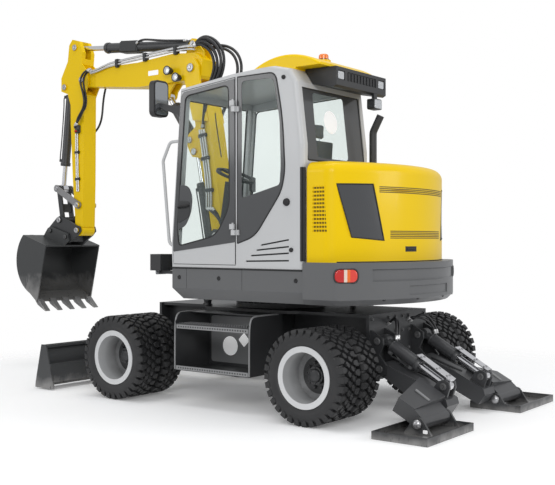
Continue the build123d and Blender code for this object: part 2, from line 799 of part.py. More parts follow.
with BuildPart() as engine:
    engine_front = hood_front - hood_wall - 20
    engine_side = 400  # its far side, to the right of the slew axis
    engine_rear = -sqrt((hood_radius - hood_wall - engine_room) ** 2 - engine_side**2)
    with Locations(((engine_front + engine_rear) / 2, -50, counterweight_top)):
        Box(
            engine_front - engine_rear, 2 * (engine_side - 50), 520,
            align=(Align.CENTER, Align.CENTER, Align.MIN),
        )
save(engine, "engine_block")

with BuildPart() as side_cover:
    cover_left = cab_right - 18
    cover_rear = platform_rear + panel_gap
    with BuildSketch(side(cover_left)):
        outline(
            (cover_rear, platform_top), (cover_rear, 1740), (60, 1720), (330, 1520),
            (430, 1380), (445, platform_top),
        )
    extrude(amount=platform_half_width + cover_left)
    with BuildSketch(side(cover_left - 14)):
        outline(
            (cover_rear + 14, platform_top), (cover_rear + 14, 1722), (54, 1702), (318, 1508),
            (415, 1372), (428, platform_top),
        )
    extrude(amount=platform_half_width + cover_left - 28, mode=Mode.SUBTRACT)
save(side_cover, "side_cover")

# ---------------------------------------------------------------- cab
cab_shape = (
    (498, cab_floor), (505, 1420), (392, 2790), (-200, 2860), (-640, 2885), (-790, 2850),
    (-862, 2740), (-925, 2230), (-930, cab_floor),
)
cab_inside = (
    (452, cab_floor + cab_wall), (458, 1420), (350, 2748), (-200, 2812), (-630, 2838), (-760, 2810),
    (-818, 2730), (-880, 2228), (-885, cab_floor + cab_wall),
)
door_shape = ((482, 1245), (490, 1420), (388, 2765), (-222, 2826), (-228, 1245))
door_window = ((338, 2725), (-160, 2776), (-167, 1732), (-20, 1490), (420, 1400), (440, 1560))
quarter_shape = ((-262, 2818), (-640, 2820), (-716, 2453), (-740, 2015), (-706, 1862), (-437, 1496), (-262, 1440))
with BuildPart() as cab_frame:
    with BuildSketch(side(cab_left)):
        outline(*cab_shape)
    extrude(amount=cab_left - cab_right)
    # Rounded corners down the back, then the slanted air slots in the left side.
    rear_edges = cab_frame.edges().filter_by(
        lambda e: e.center().X < -700 and e.bounding_box().size.Y < 1)
    fillet(rear_edges, cab_corner)
    slot_rear = -791
    for slot_front, low, high in ((-503, 1405, 1450), (-456, 1363, 1394), (-397, 1317, 1341), (-343, 1270, 1280)):
        with BuildSketch(side(cab_left)):
            outline(
                (slot_front, low), (slot_rear, high), (slot_rear, high + slot_height),
                (slot_front, low + slot_height),
            )
        extrude(amount=cab_wall / 3, mode=Mode.SUBTRACT)
    with BuildSketch(side(cab_left - cab_wall)):
        outline(*cab_inside)
    extrude(amount=cab_left - cab_right - 2 * cab_wall, mode=Mode.SUBTRACT)
    with BuildSketch(side(cab_left + 1)):
        outline(*door_shape)
        offset(amount=door_gap, kind=Kind.INTERSECTION)
    extrude(amount=cab_wall + 2, mode=Mode.SUBTRACT)
    with BuildSketch(side(cab_left + 1)):
        outline(*quarter_shape)
    extrude(amount=cab_wall + 2, mode=Mode.SUBTRACT)
    # Right window, windscreen and rear window.
    with BuildSketch(side(cab_right + cab_wall + 1)):
        outline((420, 1780), (345, 2690), (-770, 2745), (-820, 2230), (-830, 1780))
    extrude(amount=cab_wall + 2, mode=Mode.SUBTRACT)
    glass_low_y = cab_right + cab_wall + 30
    glass_high_y = cab_left - cab_wall - 30
    for x0, x1, z0, z1 in ((340, 520, 1330, 2700), (-950, -800, 2100, 2700)):
        with Locations(((x0 + x1) / 2, (glass_low_y + glass_high_y) / 2, (z0 + z1) / 2)):
            Box(x1 - x0, glass_high_y - glass_low_y, z1 - z0, mode=Mode.SUBTRACT)
    # Door hinge leaves on the pillar, with their pins.
    hinge_y = cab_left + door_hinge_out
    for z in (1547, 2588):
        with Locations((door_hinge_x - 30, cab_left + 8, z - 30)):
            Box(36, 20, 44)
        with Locations((door_hinge_x - 14, (cab_left + hinge_y) / 2 + 6, z - 30)):
            Box(28, hinge_y - cab_left + 10, 44)
        with Locations((door_hinge_x, hinge_y, z)):
            Cylinder(9, 104)
        with Locations((door_hinge_x, hinge_y, z - 30)):
            Cylinder(16, 44)
save(cab_frame, "cab_frame")

with BuildPart() as cab_door:
    with BuildSketch(side(cab_left)):
        outline(*door_shape)
    extrude(amount=door_thickness)
    with BuildSketch(side(cab_left + 1)):
        outline(*door_window)
    extrude(amount=door_thickness + 2, mode=Mode.SUBTRACT)
    for z in (1547, 2588):
        with Locations((door_hinge_x + 30, cab_left + 8, z + 20)):
            Box(40, 20, 44)
        with Locations((door_hinge_x + 16, (cab_left + hinge_y) / 2 + 6, z + 20)):
            Box(24, hinge_y - cab_left + 10, 44)
        with Locations((door_hinge_x, hinge_y, z + 20)):
            Cylinder(16, 44)
        with Locations((door_hinge_x, hinge_y, z)):
            Cylinder(9 + bore_gap, 110, mode=Mode.SUBTRACT)
save(cab_door, "cab_door")

with BuildPart() as door_glass:
    with BuildSketch(side(cab_left - 10)):
        outline(*door_window)
    extrude(amount=glass_thickness)
save(door_glass, "door_glass")

with BuildPart() as cab_glass:
    with BuildSketch(side(cab_left - 10)):
        outline(*quarter_shape)
    extrude(amount=glass_thickness)
    with BuildSketch(side(cab_right + 16)):
        outline((420, 1780), (345, 2690), (-770, 2745), (-820, 2230), (-830, 1780))
    extrude(amount=glass_thickness)
    with BuildSketch(side(glass_high_y)):
        outline((498, 1330), (398, 2700), (392, 2700), (492, 1330))
    extrude(amount=glass_high_y - glass_low_y)
    with BuildSketch(side(glass_high_y)):
        outline((-922, 2100), (-852, 2700), (-846, 2700), (-916, 2100))
    extrude(amount=glass_high_y - glass_low_y)
save(cab_glass, "cab_glass")


def on_line(start, end, x):
    """Height at x of the line through two (x, z) points."""
    return start[1] + (x - start[0]) * (end[1] - start[1]) / (end[0] - start[0])


cab_middle = (cab_left + cab_right) / 2
roof_front = -330
roof_rear = -1030
roof_peak = 2985
top_front, top_mid, top_rear, top_corner = cab_shape[3], cab_shape[4], cab_shape[5], cab_shape[6]
beacon_x = -760
beacon_y = cab_middle - 40
with BuildPart() as cab_roof:
    with BuildSketch(side(cab_left - 95)):
        with BuildLine():
            Polyline(
                (roof_front, roof_peak - 95), (roof_front, on_line(top_front, top_mid, roof_front)),
                top_mid, top_rear, (top_rear[0], top_rear[1] + 20), (roof_rear, top_rear[1] + 20),
                (roof_rear, roof_peak - 95),
            )
            ThreePointArc((roof_rear, roof_peak - 95), (-690, roof_peak), (roof_front, roof_peak - 95))
        make_face()
    extrude(amount=cab_left - cab_right - 190)
    fillet(cab_roof.edges().filter_by(GeomType.CIRCLE), 22)
    with BuildSketch(Plane.XY.offset(roof_peak - 60)):
        with Locations((beacon_x, beacon_y)):
            Circle(62)
    extrude(amount=68)
save(cab_roof, "cab_roof")

with BuildPart() as beacon:
    # A collar under a domed lens.
    for low, radius, height in ((roof_peak + 8, 50, 9), (roof_peak + 17, 42, 46)):
        with BuildSketch(Plane.XY.offset(low)):
            with Locations((beacon_x, beacon_y)):
                Circle(radius)
        extrude(amount=height)
    fillet(beacon.edges().sort_by(Axis.Z)[-1], 20)
save(beacon, "beacon")

with BuildPart() as seat:
    with BuildSketch(side(cab_middle + 240)):
        outline((-120, 1560), (-130, 1680), (-560, 1660), (-600, 1640), (-580, 1540), (-200, 1530))
    extrude(amount=480)
    with BuildSketch(side(cab_middle + 230)):
        outline((-560, 1640), (-545, 1690), (-640, 2300), (-740, 2300), (-680, 1640))
    extrude(amount=460)
    with BuildSketch(side(cab_middle + 130)):
        outline((-652, 2290), (-670, 2480), (-745, 2480), (-738, 2290))
    extrude(amount=260)
    with Locations((-370, cab_middle, (cab_floor + cab_wall + 1540) / 2)):
        Box(380, 380, 1540 - cab_floor - 47)
save(seat, "operator_seat")

with BuildPart() as controls:
    for hand in (-1, 1):
        with Locations((-300, cab_middle + hand * 310, 1540)):
            Box(460, 100, 220)
        with Locations((-300, cab_middle + hand * 310, (cab_floor + cab_wall + 1440) / 2)):
            Box(200, 80, 1440 - cab_floor - 47)
        with Locations((-150, cab_middle + hand * 310, 1720)):
            Cylinder(22, 170)
    with BuildSketch(side(cab_middle + 60)):
        outline((280, cab_floor + cab_wall), (380, cab_floor + cab_wall), (260, 1990), (190, 1980))
    extrude(amount=120)
    steering = Plane(origin=(190, cab_middle, 2030), x_dir=(0.923, 0, 0.385), z_dir=(-0.385, 0, 0.923))
    with BuildSketch(steering):
        Circle(185)
        Circle(155, mode=Mode.SUBTRACT)
        Rectangle(330, 34)
        Circle(46)
    extrude(amount=24)
    with BuildSketch(steering):
        Circle(30)
    extrude(amount=-70)
save(controls, "cab_controls")

# ---------------------------------------------------------------- small outside fittings
wind_foot, wind_top = cab_shape[1], cab_shape[2]


def wind_x(z):
    """x of the cab's sloping front at height z."""
    return wind_foot[0] + (z - wind_foot[1]) * (wind_top[0] - wind_foot[0]) / (wind_top[1] - wind_foot[1])


with BuildPart() as fittings:
    # Mirror and its arm, footed on the cab's front corner.
    mirror_y = cab_left - 55
    with BuildSketch(side(mirror_y + 25)):
        outline(
            (wind_x(2560), 2560), (wind_x(2660), 2660), (500, 2650), (700, 2700), (700, 2660),
            (520, 2590),
        )
    extrude(amount=50)
    with BuildSketch(Plane.YZ.offset(700)):
        with Locations((mirror_y - 10, 2740)):
            RectangleRounded(190, 330, 50)
    extrude(amount=60)
    # Work lamp bracketed to the platform's front.
    with Locations(((platform_front + 780) / 2, 800, 1160)):
        Box(780 - platform_front, 60, 30)
    with Locations((775, 800, 1250)):
        Box(130, 170, 150)
    # Lamp bar across the back of the cab's roof.
    with BuildSketch(side(cab_left - 230)):
        outline(top_corner, top_rear, (top_rear[0], top_rear[1] + 18), (-1100, 2866), (-1100, 2715), (-1070, 2700))
    extrude(amount=cab_left - cab_right - 230)
    # Recesses in its rear face, and a work lamp hung below its right end.
    for y0, y1 in ((-35, 65), (105, 555), (595, 695)):
        with Locations((-1100, (y0 + y1) / 2, 2800)):
            Box(20, y1 - y0, 74, mode=Mode.SUBTRACT)
    with Locations((-1085, 106, 2690)):
        Box(24, 50, 60)
    with BuildSketch(Plane.YZ.offset(-1120)):
        with Locations((106, 2622)):
            RectangleRounded(130, 90, 18)
    extrude(amount=70)
    # Air intake pipe on the hood.
    with BuildLine() as pipe_line:
        FilletPolyline((-1080, 120, hood_top), (-1080, 120, 2380), (-1150, 110, 2520), radius=90)
    with BuildSketch(Plane(origin=(-1080, 120, hood_top), z_dir=(0, 0, 1))):
        Circle(32)
    sweep(path=pipe_line.wires()[0])
save(fittings, "fittings")

# Work lamps bracketed to the boom's left side near the elbow.
with BuildPart() as boom_lamps:
    lamp_face = boom_y + boom_width / 2
    for place in ((1400, 3190), (1284, 3108)):
        with BuildSketch(side(lamp_face + 26)):
            with Locations(place):
                Circle(16)
        extrude(amount=26)
        with BuildSketch(side(lamp_face + 84)):
            with Locations(place):
                Circle(48)
        with BuildSketch(side(lamp_face + 26)):
            with Locations(place):
                Circle(34)
        loft()
save(boom_lamps, "boom_lamps")

rail_radius = 14
rail_y = cab_left - 50
rail_high = 2340
rail_low = 1405
with BuildPart() as handrail:
    with BuildLine() as rail_line:
        FilletPolyline(
            (wind_x(rail_high) - 10, rail_y, rail_high), (575, rail_y, rail_high - 5),
            (662, rail_y, 2170), (582, rail_y, rail_low + 5), (wind_x(rail_low) - 10, rail_y, rail_low),
            radius=55,
        )
    with BuildSketch(Plane(origin=rail_line.line @ 0, z_dir=rail_line.line % 0)):
        Circle(rail_radius)
    sweep(path=rail_line.wires()[0])
    with BuildSketch(side(cab_left)):
        outline(*cab_shape)
    extrude(amount=cab_left - cab_right, mode=Mode.SUBTRACT)
save(handrail, "handrail")

# ---------------------------------------------------------------- swing post
post_inner = boom_width / 2 + 6
post_cheek = 30
fx, fz = boom_foot
lx, lz = lift_base
with BuildPart() as swing_post:
    with BuildSketch(Plane.XY.offset(post_low)):
        with Locations((swing_x, boom_y)):
            Circle(62)
    extrude(amount=post_high - post_low)
    with Locations(((swing_x + 790) / 2 + 10, boom_y, (post_low + post_high) / 2)):
        Box(790 - swing_x, 2 * post_inner, post_high - post_low - 20)
    with BuildSketch(Plane.XY.offset(post_low - 100)):
        with Locations((swing_x, boom_y)):
            Circle(swing_pin_radius + bore_gap)
    extrude(amount=post_high - post_low + 200, mode=Mode.SUBTRACT)
    for low in (post_inner, -post_inner - post_cheek):
        with BuildSketch(side(boom_y + low + post_cheek)):
            outline(
                (705, 1000), (705, 1230), (fx - 72, fz), (fx - 40, fz + 62), (fx + 30, fz + 68),
                (fx + 75, fz + 20), (lx + 72, lz + 90), (lx + 75, lz - 40), (lx + 20, lz - 80),
                (840, 1000),
            )
        extrude(amount=post_cheek)
    # Inner cheeks for the lift cylinder, tied by the post's floor.
    for low in (eye_cheek, -eye_cheek - cheek):
        with BuildSketch(side(boom_y + low + cheek)):
            outline(
                (790, 1010), (790, 1170), (lx - 20, lz + 62), (lx + 30, lz + 58), (lx + 60, lz + 10),
                (lx + 55, lz - 50), (lx, lz - 80), (860, 1010),
            )
        extrude(amount=cheek)
    for y0 in (eye_cheek + cheek - 1, -post_inner - 1):
        with BuildSketch(side(boom_y + y0 + post_inner - eye_cheek - cheek + 2)):
            with Locations(lift_base):
                Circle(46)
        extrude(amount=post_inner - eye_cheek - cheek + 2)
    for pin, reach in ((boom_foot, post_inner + post_cheek + 12), (lift_base, post_inner + 5)):
        with BuildSketch(side(boom_y)):
            with Locations(pin):
                Circle(pin_radius)
        extrude(amount=reach, both=True)
save(swing_post, "swing_post")

# ---------------------------------------------------------------- lower boom
boom_half = boom_width / 2
with BuildPart() as lower_boom:
    with BuildSketch(boom_side):
        outline(
            (fx - 70, fz + 5), (790, 2050), (880, 2600), (1000, 3020), (1165, 3020), (1085, 2640),
            (1010, 2250), (920, 1850), (fx + 70, fz + 5), (fx, fz - 60),
        )
        with Locations(boom_foot):
            Circle(70)
    extrude(amount=boom_half, both=True)
    with BuildSketch(boom_side):
        outline((815, 1800), (810, 2050), (900, 2600), (1005, 2960), (1130, 2960), (1062, 2640), (988, 2250), (915, 1950))
    extrude(amount=boom_half - 16, both=True, mode=Mode.SUBTRACT)
    with BuildSketch(boom_side):
        with Locations(boom_foot):
            Circle(pin_radius + bore_gap)
    extrude(amount=boom_width, both=True, mode=Mode.SUBTRACT)
    # Ear plates on the front: the lift cylinder's eye and the adjusting cylinder's base.
    ax, az = adjust_base
    ex, ez = lift_eye
    for low in (eye_cheek, -eye_cheek - cheek):
        with BuildSketch(side(boom_y + low + cheek)):
            outline(
                (1000, 2275), (ex - 40, ez - 62), (ex + 30, ez - 52), (ex + 58, ez - 10), (ax + 62, az - 20),
                (ax + 55, az + 35), (ax + 20, az + 62), (1075, 2640), (1030, 2600),
            )
        extrude(amount=cheek)
    for low in (eye_cheek + cheek, -eye_cheek - cheek - 14):
        with BuildSketch(side(boom_y + low + 14)):
            with Locations(lift_eye):
                Circle(pin_radius + 4)
        extrude(amount=14)
    with BuildSketch(boom_side):
        with Locations(adjust_base):
            Circle(pin_radius)
    extrude(amount=eye_cheek + cheek + 14, both=True)
    # Fork that holds the upper boom.
    fork_inner = boom_half + 7
    for low in (fork_inner, -fork_inner - cheek):
        with BuildSketch(side(boom_y + low + cheek)):
            outline(
                (900, 2640), (1090, 2660), (1215, 3120), (1205, 3240), (1150, 3290), (1070, 3285),
                (1015, 3210), (1000, 3060),
            )
        extrude(amount=cheek)
    for hand in (-1, 1):
        with BuildSketch(side(boom_y + hand * (boom_half + 3.5) + 3.5)):
            outline((905, 2650), (1086, 2670), (1160, 3000), (1005, 3000))
        extrude(amount=7)
    with BuildSketch(boom_side):
        with Locations(elbow):
            Circle(pin_radius + 6)
    extrude(amount=fork_inner + cheek + 14, both=True)
save(lower_boom, "lower_boom")

lift_barrel, lift_rod = cylinder(lift_base, lift_eye, boom_y, bore=50, rod=32, stroke_back=270)
adjust_barrel, adjust_rod = cylinder(adjust_base, adjust_eye, boom_y, bore=50, rod=32, stroke_back=84)

# ---------------------------------------------------------------- upper boom
with BuildPart() as upper_boom:
    with BuildSketch(boom_side):
        outline(
            (1000, 3110), (1020, 3080), (1900, 3078), (2730, 3165), (2860, 3180), (2880, 3250),
            (2840, 3340), (2740, 3352), (1900, 3338), (1400, 3372), (1080, 3345), (985, 3270),
        )
    extrude(amount=boom_half, both=True)
    with BuildSketch(boom_side):
        outline((1260, 3100), (1900, 3098), (2530, 3164), (2530, 3328), (1900, 3318), (1400, 3350), (1260, 3340))
    extrude(amount=boom_half - 16, both=True, mode=Mode.SUBTRACT)
    # The tip narrows into a tongue between the arm's cheeks.
    for low in (70, -boom_half - 1):
        with BuildSketch(side(boom_y + low + boom_half - 69)):
            outline((2560, 3080), (2950, 3080), (2950, 3420), (2560, 3420))
        extrude(amount=boom_half - 69, mode=Mode.SUBTRACT)
    with BuildSketch(boom_side):
        with Locations(arm_pivot):
            Circle(78)
    extrude(amount=70, both=True)
    with BuildSketch(boom_side):
        with Locations(arm_pivot):
            Circle(pin_radius + bore_gap)
        with Locations(elbow):
            Circle(pin_radius + 6 + bore_gap)
    extrude(amount=boom_width, both=True, mode=Mode.SUBTRACT)
    # Ears for the stick cylinder on top and for the adjusting cylinder's eye below.
    sx, sz = stick_base
    ux, uz = adjust_eye
    for low in (eye_cheek, -eye_cheek - cheek):
        with BuildSketch(side(boom_y + low + cheek)):
            outline(
                (1000, 3260), (1010, 3360), (sx - 60, sz), (sx - 35, sz + 50), (sx + 20, sz + 60),
                (sx + 62, sz + 5), (sx + 90, sz - 70), (1270, 3340), (1300, 3300),
            )
            outline(
                (1380, 3100), (1470, 3000), (ux - 50, uz - 15), (ux - 20, uz - 50), (ux + 25, uz - 48),
                (ux + 52, uz - 10), (1640, 3030), (1760, 3100),
            )
        extrude(amount=cheek)
    with BuildSketch(boom_side):
        with Locations(stick_base):
            Circle(pin_radius)
    extrude(amount=eye_cheek + cheek + 14, both=True)
    for low in (eye_cheek + cheek, -eye_cheek - cheek - 14):
        with BuildSketch(side(boom_y + low + 14)):
            with Locations(adjust_eye):
                Circle(pin_radius + 4)
        extrude(amount=14)
save(upper_boom, "upper_boom")
stick_barrel, stick_rod = cylinder(stick_base, stick_eye, boom_y, bore=43, rod=28, stroke_back=375)

# ---------------------------------------------------------------- arm
arm_half = arm_width / 2
with BuildPart() as arm:
    with BuildSketch(boom_side):
        outline(
            (2790, 1600), (2776, 2100), (2768, 3060), (2700, 3180), (2705, 3300), (2728, 3352),
            (2806, 3428), (2793, 3560),
            (2850, 3690), (2960, 3720), (3015, 3660), (3040, 3480), (3150, 3300), (3150, 3150),
            (3040, 3110), (2992, 2980), (2990, 2772), (2952, 2118), (2915, 1720), (2910, 1560),
        )
        with Locations(bucket_pivot):
            Circle(62)
    extrude(amount=arm_half, both=True)
    with BuildSketch(boom_side):
        outline((2810, 1720), (2796, 2100), (2790, 3000), (2965, 2970), (2968, 2772), (2932, 2118), (2900, 1800))
    extrude(amount=arm_half - 14, both=True, mode=Mode.SUBTRACT)
    # Slot for the boom's tongue, open at the back.
    with BuildSketch(boom_side):
        outline((2887, 3311), (2657, 3639), (2500, 3639), (2500, 2867), (2863, 3172))
        with Locations(arm_pivot):
            Circle(106)
    extrude(amount=76, both=True, mode=Mode.SUBTRACT)
    with BuildSketch(boom_side):
        with Locations(arm_pivot):
            Circle(pin_radius)
    extrude(amount=arm_half + 16, both=True)
    # Slots for the stick cylinder's eye on top and the bucket cylinder's eye in front.
    with BuildSketch(boom_side):
        outline((2700, 3560), (2830, 3470), (3000, 3530), (3100, 3600), (3100, 3800), (2700, 3800))
        outline((3000, 3245), (3200, 3330), (3260, 3100), (3050, 3060), (3005, 3130))
    extrude(amount=eye_cheek, both=True, mode=Mode.SUBTRACT)
    for low in (arm_half, -arm_half - 12):
        with BuildSketch(side(boom_y + low + 12)):
            with Locations(stick_eye):
                Circle(pin_radius + 4)
        extrude(amount=12)
    for pin in (bucket_base, lever_pivot, bucket_pivot):
        with BuildSketch(boom_side):
            with Locations(pin):
                Circle(pin_radius)
        extrude(amount=arm_half + (16 if pin == bucket_base else 44), both=True)
save(arm, "arm")
bucket_barrel, bucket_rod = cylinder(bucket_base, knuckle_pin, boom_y, bore=40, rod=26, stroke_back=206)
for name, pair in (
    ("lift", (lift_barrel, lift_rod)), ("adjust", (adjust_barrel, adjust_rod)),
    ("stick", (stick_barrel, stick_rod)), ("bucket", (bucket_barrel, bucket_rod)),
):
    save(pair[0], f"{name}_barrel")
    save(pair[1], f"{name}_rod")

# ---------------------------------------------------------------- bucket linkage
lever_inner = arm_half + 6
link_inner = eye_width / 2 + 22
link_plate = 20
with BuildPart() as lever:
    for low in (lever_inner, -lever_inner - 16):
        with BuildSketch(along(lever_pivot, knuckle_pin, boom_y + low + 16)):
            reach = span(lever_pivot, knuckle_pin)
            outline((0, -38), (reach, -34), (reach, 34), (0, 38))
            Circle(42)
            with Locations((reach, 0)):
                Circle(40)
            Circle(pin_radius + bore_gap, mode=Mode.SUBTRACT)
        extrude(amount=16)
    # Stub pins that carry the link on each side, clear of the rod's eye between them.
    for low in (link_inner - 2, -lever_inner - 16):
        with BuildSketch(side(boom_y + low + lever_inner + 18 - link_inner)):
            with Locations(knuckle_pin):
                Circle(pin_radius - 4)
        extrude(amount=lever_inner + 18 - link_inner)
save(lever, "bucket_lever")

with BuildPart() as link:
    reach = span(knuckle_pin, link_pin)
    for low in (link_inner, -link_inner - link_plate):
        with BuildSketch(along(knuckle_pin, link_pin, boom_y + low + link_plate)):
            outline((0, -32), (reach, -32), (reach, 32), (0, 32))
            Circle(38)
            with Locations((reach, 0)):
                Circle(40)
            Circle(pin_radius - 4 + bore_gap, mode=Mode.SUBTRACT)
        extrude(amount=link_plate)
    with BuildSketch(along(knuckle_pin, link_pin, boom_y)):
        with Locations((reach * 0.62, 0)):
            Rectangle(90, 46)
        with Locations((reach, 0)):
            Circle(36)
    extrude(amount=link_inner + 1, both=True)
save(link, "bucket_link")

with BuildPart() as coupler:
    ear_inner = arm_half + 8
    qx, qz = bucket_pivot
    cx, cz = link_pin
    for low in (ear_inner, -ear_inner - cheek):
        with BuildSketch(side(boom_y + low + cheek)):
            outline(
                (qx - 56, qz - 10), (qx - 40, qz + 42), (qx + 20, qz + 58), (cx - 20, cz + 52),
                (cx + 40, cz + 30), (cx + 180, 1600), (cx + 180, 1535), (2990, 1425), (qx, qz - 62),
            )
            with Locations(bucket_pivot):
                Circle(pin_radius + bore_gap, mode=Mode.SUBTRACT)
        extrude(amount=cheek)
    with BuildSketch(boom_side):
        outline((2985, 1435), (3320, 1538), (3320, 1592), (3060, 1572), (2965, 1500))
    extrude(amount=ear_inner + 2, both=True)
    for low in (ear_inner + cheek, -ear_inner - cheek - 12):
        with BuildSketch(side(boom_y + low + 12)):
            with Locations(link_pin):
                Circle(pin_radius + 4)
        extrude(amount=12)
    for pin in ((3010, 1490), (3270, 1560)):
        with BuildSketch(boom_side):
            with Locations(pin):
                Circle(22)
        extrude(amount=ear_inner + cheek + 40, both=True)
save(coupler, "quick_coupler")

with BuildPart() as bucket:
    bucket_half = bucket_width / 2
    mouth_top = (3052, 1394)
    lip = (3199, 759)
    with BuildSketch(boom_side):
        with BuildLine():
            Line(mouth_top, (3440, 1512))
            ThreePointArc((3440, 1512), (3560, 1190), (3325, 855))
            Line((3325, 855), lip)
            Line(lip, mouth_top)
        make_face()
    extrude(amount=bucket_half, both=True)
    with BuildSketch(boom_side):
        with BuildLine():
            Line((2900, 1332), (3430, 1494))
            ThreePointArc((3430, 1494), (3546, 1190), (3317, 868))
            Line((3317, 868), (3100, 700))
            Line((3100, 700), (2900, 1332))
        make_face()
    extrude(amount=bucket_half - bucket_plate, both=True, mode=Mode.SUBTRACT)
    tooth_pitch = (bucket_width - 90) / (tooth_count - 1)
    for n in range(tooth_count):
        middle = boom_y - (bucket_width - 90) / 2 + n * tooth_pitch
        with BuildSketch(side(middle + 32)):
            outline((3215, 800), (3075, 672), (3225, 752), (3250, 790))
        extrude(amount=64)
    for low in (ear_inner + cheek + 6, -ear_inner - cheek - 6 - cheek):
        with BuildSketch(side(boom_y + low + cheek)):
            outline(
                (2960, 1455), (2975, 1525), (3020, 1540), (3265, 1610), (3320, 1590), (3400, 1495),
                (3052, 1388),
            )
            for pin in ((3010, 1490), (3270, 1560)):
                with Locations(pin):
                    Circle(22 + bore_gap, mode=Mode.SUBTRACT)
        extrude(amount=cheek)
save(bucket, "bucket")
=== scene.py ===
"""Looks of a compact wheeled excavator: paint, rubber, glass, hoses and small fittings over its CAD frame.

Metres, +X forward, +Y the machine's left, +Z up, origin on the ground under the slew ring.
"""
import math

import bmesh
import bpy
from mathutils import Matrix, Vector


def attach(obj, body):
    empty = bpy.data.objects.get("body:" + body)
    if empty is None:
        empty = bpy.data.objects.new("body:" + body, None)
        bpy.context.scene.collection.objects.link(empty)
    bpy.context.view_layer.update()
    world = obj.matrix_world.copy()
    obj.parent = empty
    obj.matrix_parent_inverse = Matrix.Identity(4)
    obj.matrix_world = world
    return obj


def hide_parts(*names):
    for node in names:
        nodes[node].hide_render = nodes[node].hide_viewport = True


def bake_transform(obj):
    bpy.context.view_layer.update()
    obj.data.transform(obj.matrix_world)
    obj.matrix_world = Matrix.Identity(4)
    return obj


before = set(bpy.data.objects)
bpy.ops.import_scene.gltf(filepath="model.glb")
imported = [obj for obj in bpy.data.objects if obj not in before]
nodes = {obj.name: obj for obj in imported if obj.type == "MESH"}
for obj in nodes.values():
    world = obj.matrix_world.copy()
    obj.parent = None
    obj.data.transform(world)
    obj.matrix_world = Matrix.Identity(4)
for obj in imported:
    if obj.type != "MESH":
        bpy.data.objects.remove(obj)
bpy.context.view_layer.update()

# ---------------------------------------------------------------- studio
# A pale seamless floor that fades out to white, soft panels of light, and a long lens held
# at the height of the wheels' tops, off the machine's rear left corner.
scene = bpy.context.scene
scene.view_settings.view_transform = "Standard"

camera = bpy.data.objects.new("studio_camera", bpy.data.cameras.new("studio_camera"))
scene.collection.objects.link(camera)
camera.location = (-5.3179, 7.0956, 1.456)
camera.rotation_euler = Vector((0.604, -0.797, -0.0012)).to_track_quat("-Z", "Y").to_euler()
camera.data.sensor_width = 36
camera.data.lens = 61.15
camera.data.shift_x = 0.0027
camera.data.shift_y = -0.0028
camera.data.clip_end = 200
scene.camera = camera


class Value:
    """A socket in a material's tree; arithmetic on it adds the Math nodes."""

    def __init__(self, shader, socket):
        self.shader, self.socket = shader, socket

    def __add__(self, other):
        return self.shader.math("ADD", self, other)

    def __sub__(self, other):
        return self.shader.math("SUBTRACT", self, other)

    def __rsub__(self, other):
        return self.shader.math("SUBTRACT", other, self)

    def __mul__(self, other):
        return self.shader.math("MULTIPLY", self, other)

    def __gt__(self, other):
        return self.shader.math("GREATER_THAN", self, other)

    def __lt__(self, other):
        return self.shader.math("LESS_THAN", self, other)

    __radd__, __rmul__ = __add__, __mul__


class Shader:
    """A material, or the world, being built. add() puts in any node; surface() ends the tree."""

    def __init__(self, name, kind=bpy.data.materials):
        self.owner = kind.new(name)
        self.owner.use_nodes = True
        self.tree = self.owner.node_tree
        self.tree.nodes.clear()

    def add(self, kind, settings=None, output=0, **inputs):
        node = self.tree.nodes.new("ShaderNode" + kind)
        for key, setting in (settings or {}).items():
            setattr(node, key, setting)
        for key, value in inputs.items():
            name = int(key[1:]) if key[0] == "_" else key.replace("_", " ")
            if isinstance(value, Value):
                self.tree.links.new(value.socket, node.inputs[name])
            elif isinstance(value, tuple) and len(value) == 3 and node.inputs[name].type == "RGBA":
                node.inputs[name].default_value = (*value, 1)
            else:
                node.inputs[name].default_value = value
        return Value(self, node.outputs[output])

    def math(self, operation, a, b=0.0):
        return self.add("Math", {"operation": operation}, _0=a, _1=b)

    def mix(self, factor, first, second):
        return self.add("Mix", {"data_type": "RGBA"}, output=2, _0=factor, _6=first, _7=second)

    def place(self, scale=(1, 1, 1)):
        """Object coordinates, scaled."""
        return self.add("Mapping", Vector=self.add("TexCoord", output=3), Scale=scale)

    def along(self, axis):
        """One object coordinate: 0 is forward, 1 is to the left and 2 is up."""
        return self.add("SeparateXYZ", output=axis, _0=self.place())

    def noise(self, scale, detail=2.0, where=None):
        return self.add("TexNoise", Vector=where or self.place(), Scale=scale, Detail=detail)

    def bump(self, height, strength, distance):
        return self.add("Bump", Height=height, Strength=strength, Distance=distance)

    def surface(self, shader_value, end="OutputMaterial"):
        output = self.tree.nodes.new("ShaderNode" + end)
        self.tree.links.new(shader_value.socket, output.inputs["Surface"])
        return self.owner


half_floor = 30.0
floor_drop = 0.0005
floor_mesh = bpy.data.meshes.new("studio_floor")
floor_mesh.from_pydata([(x * half_floor, y * half_floor, 0) for x, y in ((-1, -1), (1, -1), (1, 1), (-1, 1))],
                       [], [(0, 1, 2, 3)])
floor = bpy.data.objects.new("studio_floor", floor_mesh)
floor.location.z = -floor_drop
scene.collection.objects.link(floor)

s = Shader("studio_floor")
ground = s.add("BsdfPrincipled", Base_Color=(0.97, 0.97, 0.97), Roughness=0.7, Specular_IOR_Level=0.2,
               Emission_Color=(1, 1, 1), Emission_Strength=0.13)
away = s.add("VectorMath", {"operation": "LENGTH"}, output=1, _0=s.place())
fade = s.add("MapRange", Value=away, _1=2.2, _2=5.0, _3=0.0, _4=1.0)
clear = s.add("BsdfTransparent")
floor_mesh.materials.append(s.surface(s.add("MixShader", _0=fade, _1=ground, _2=clear)))

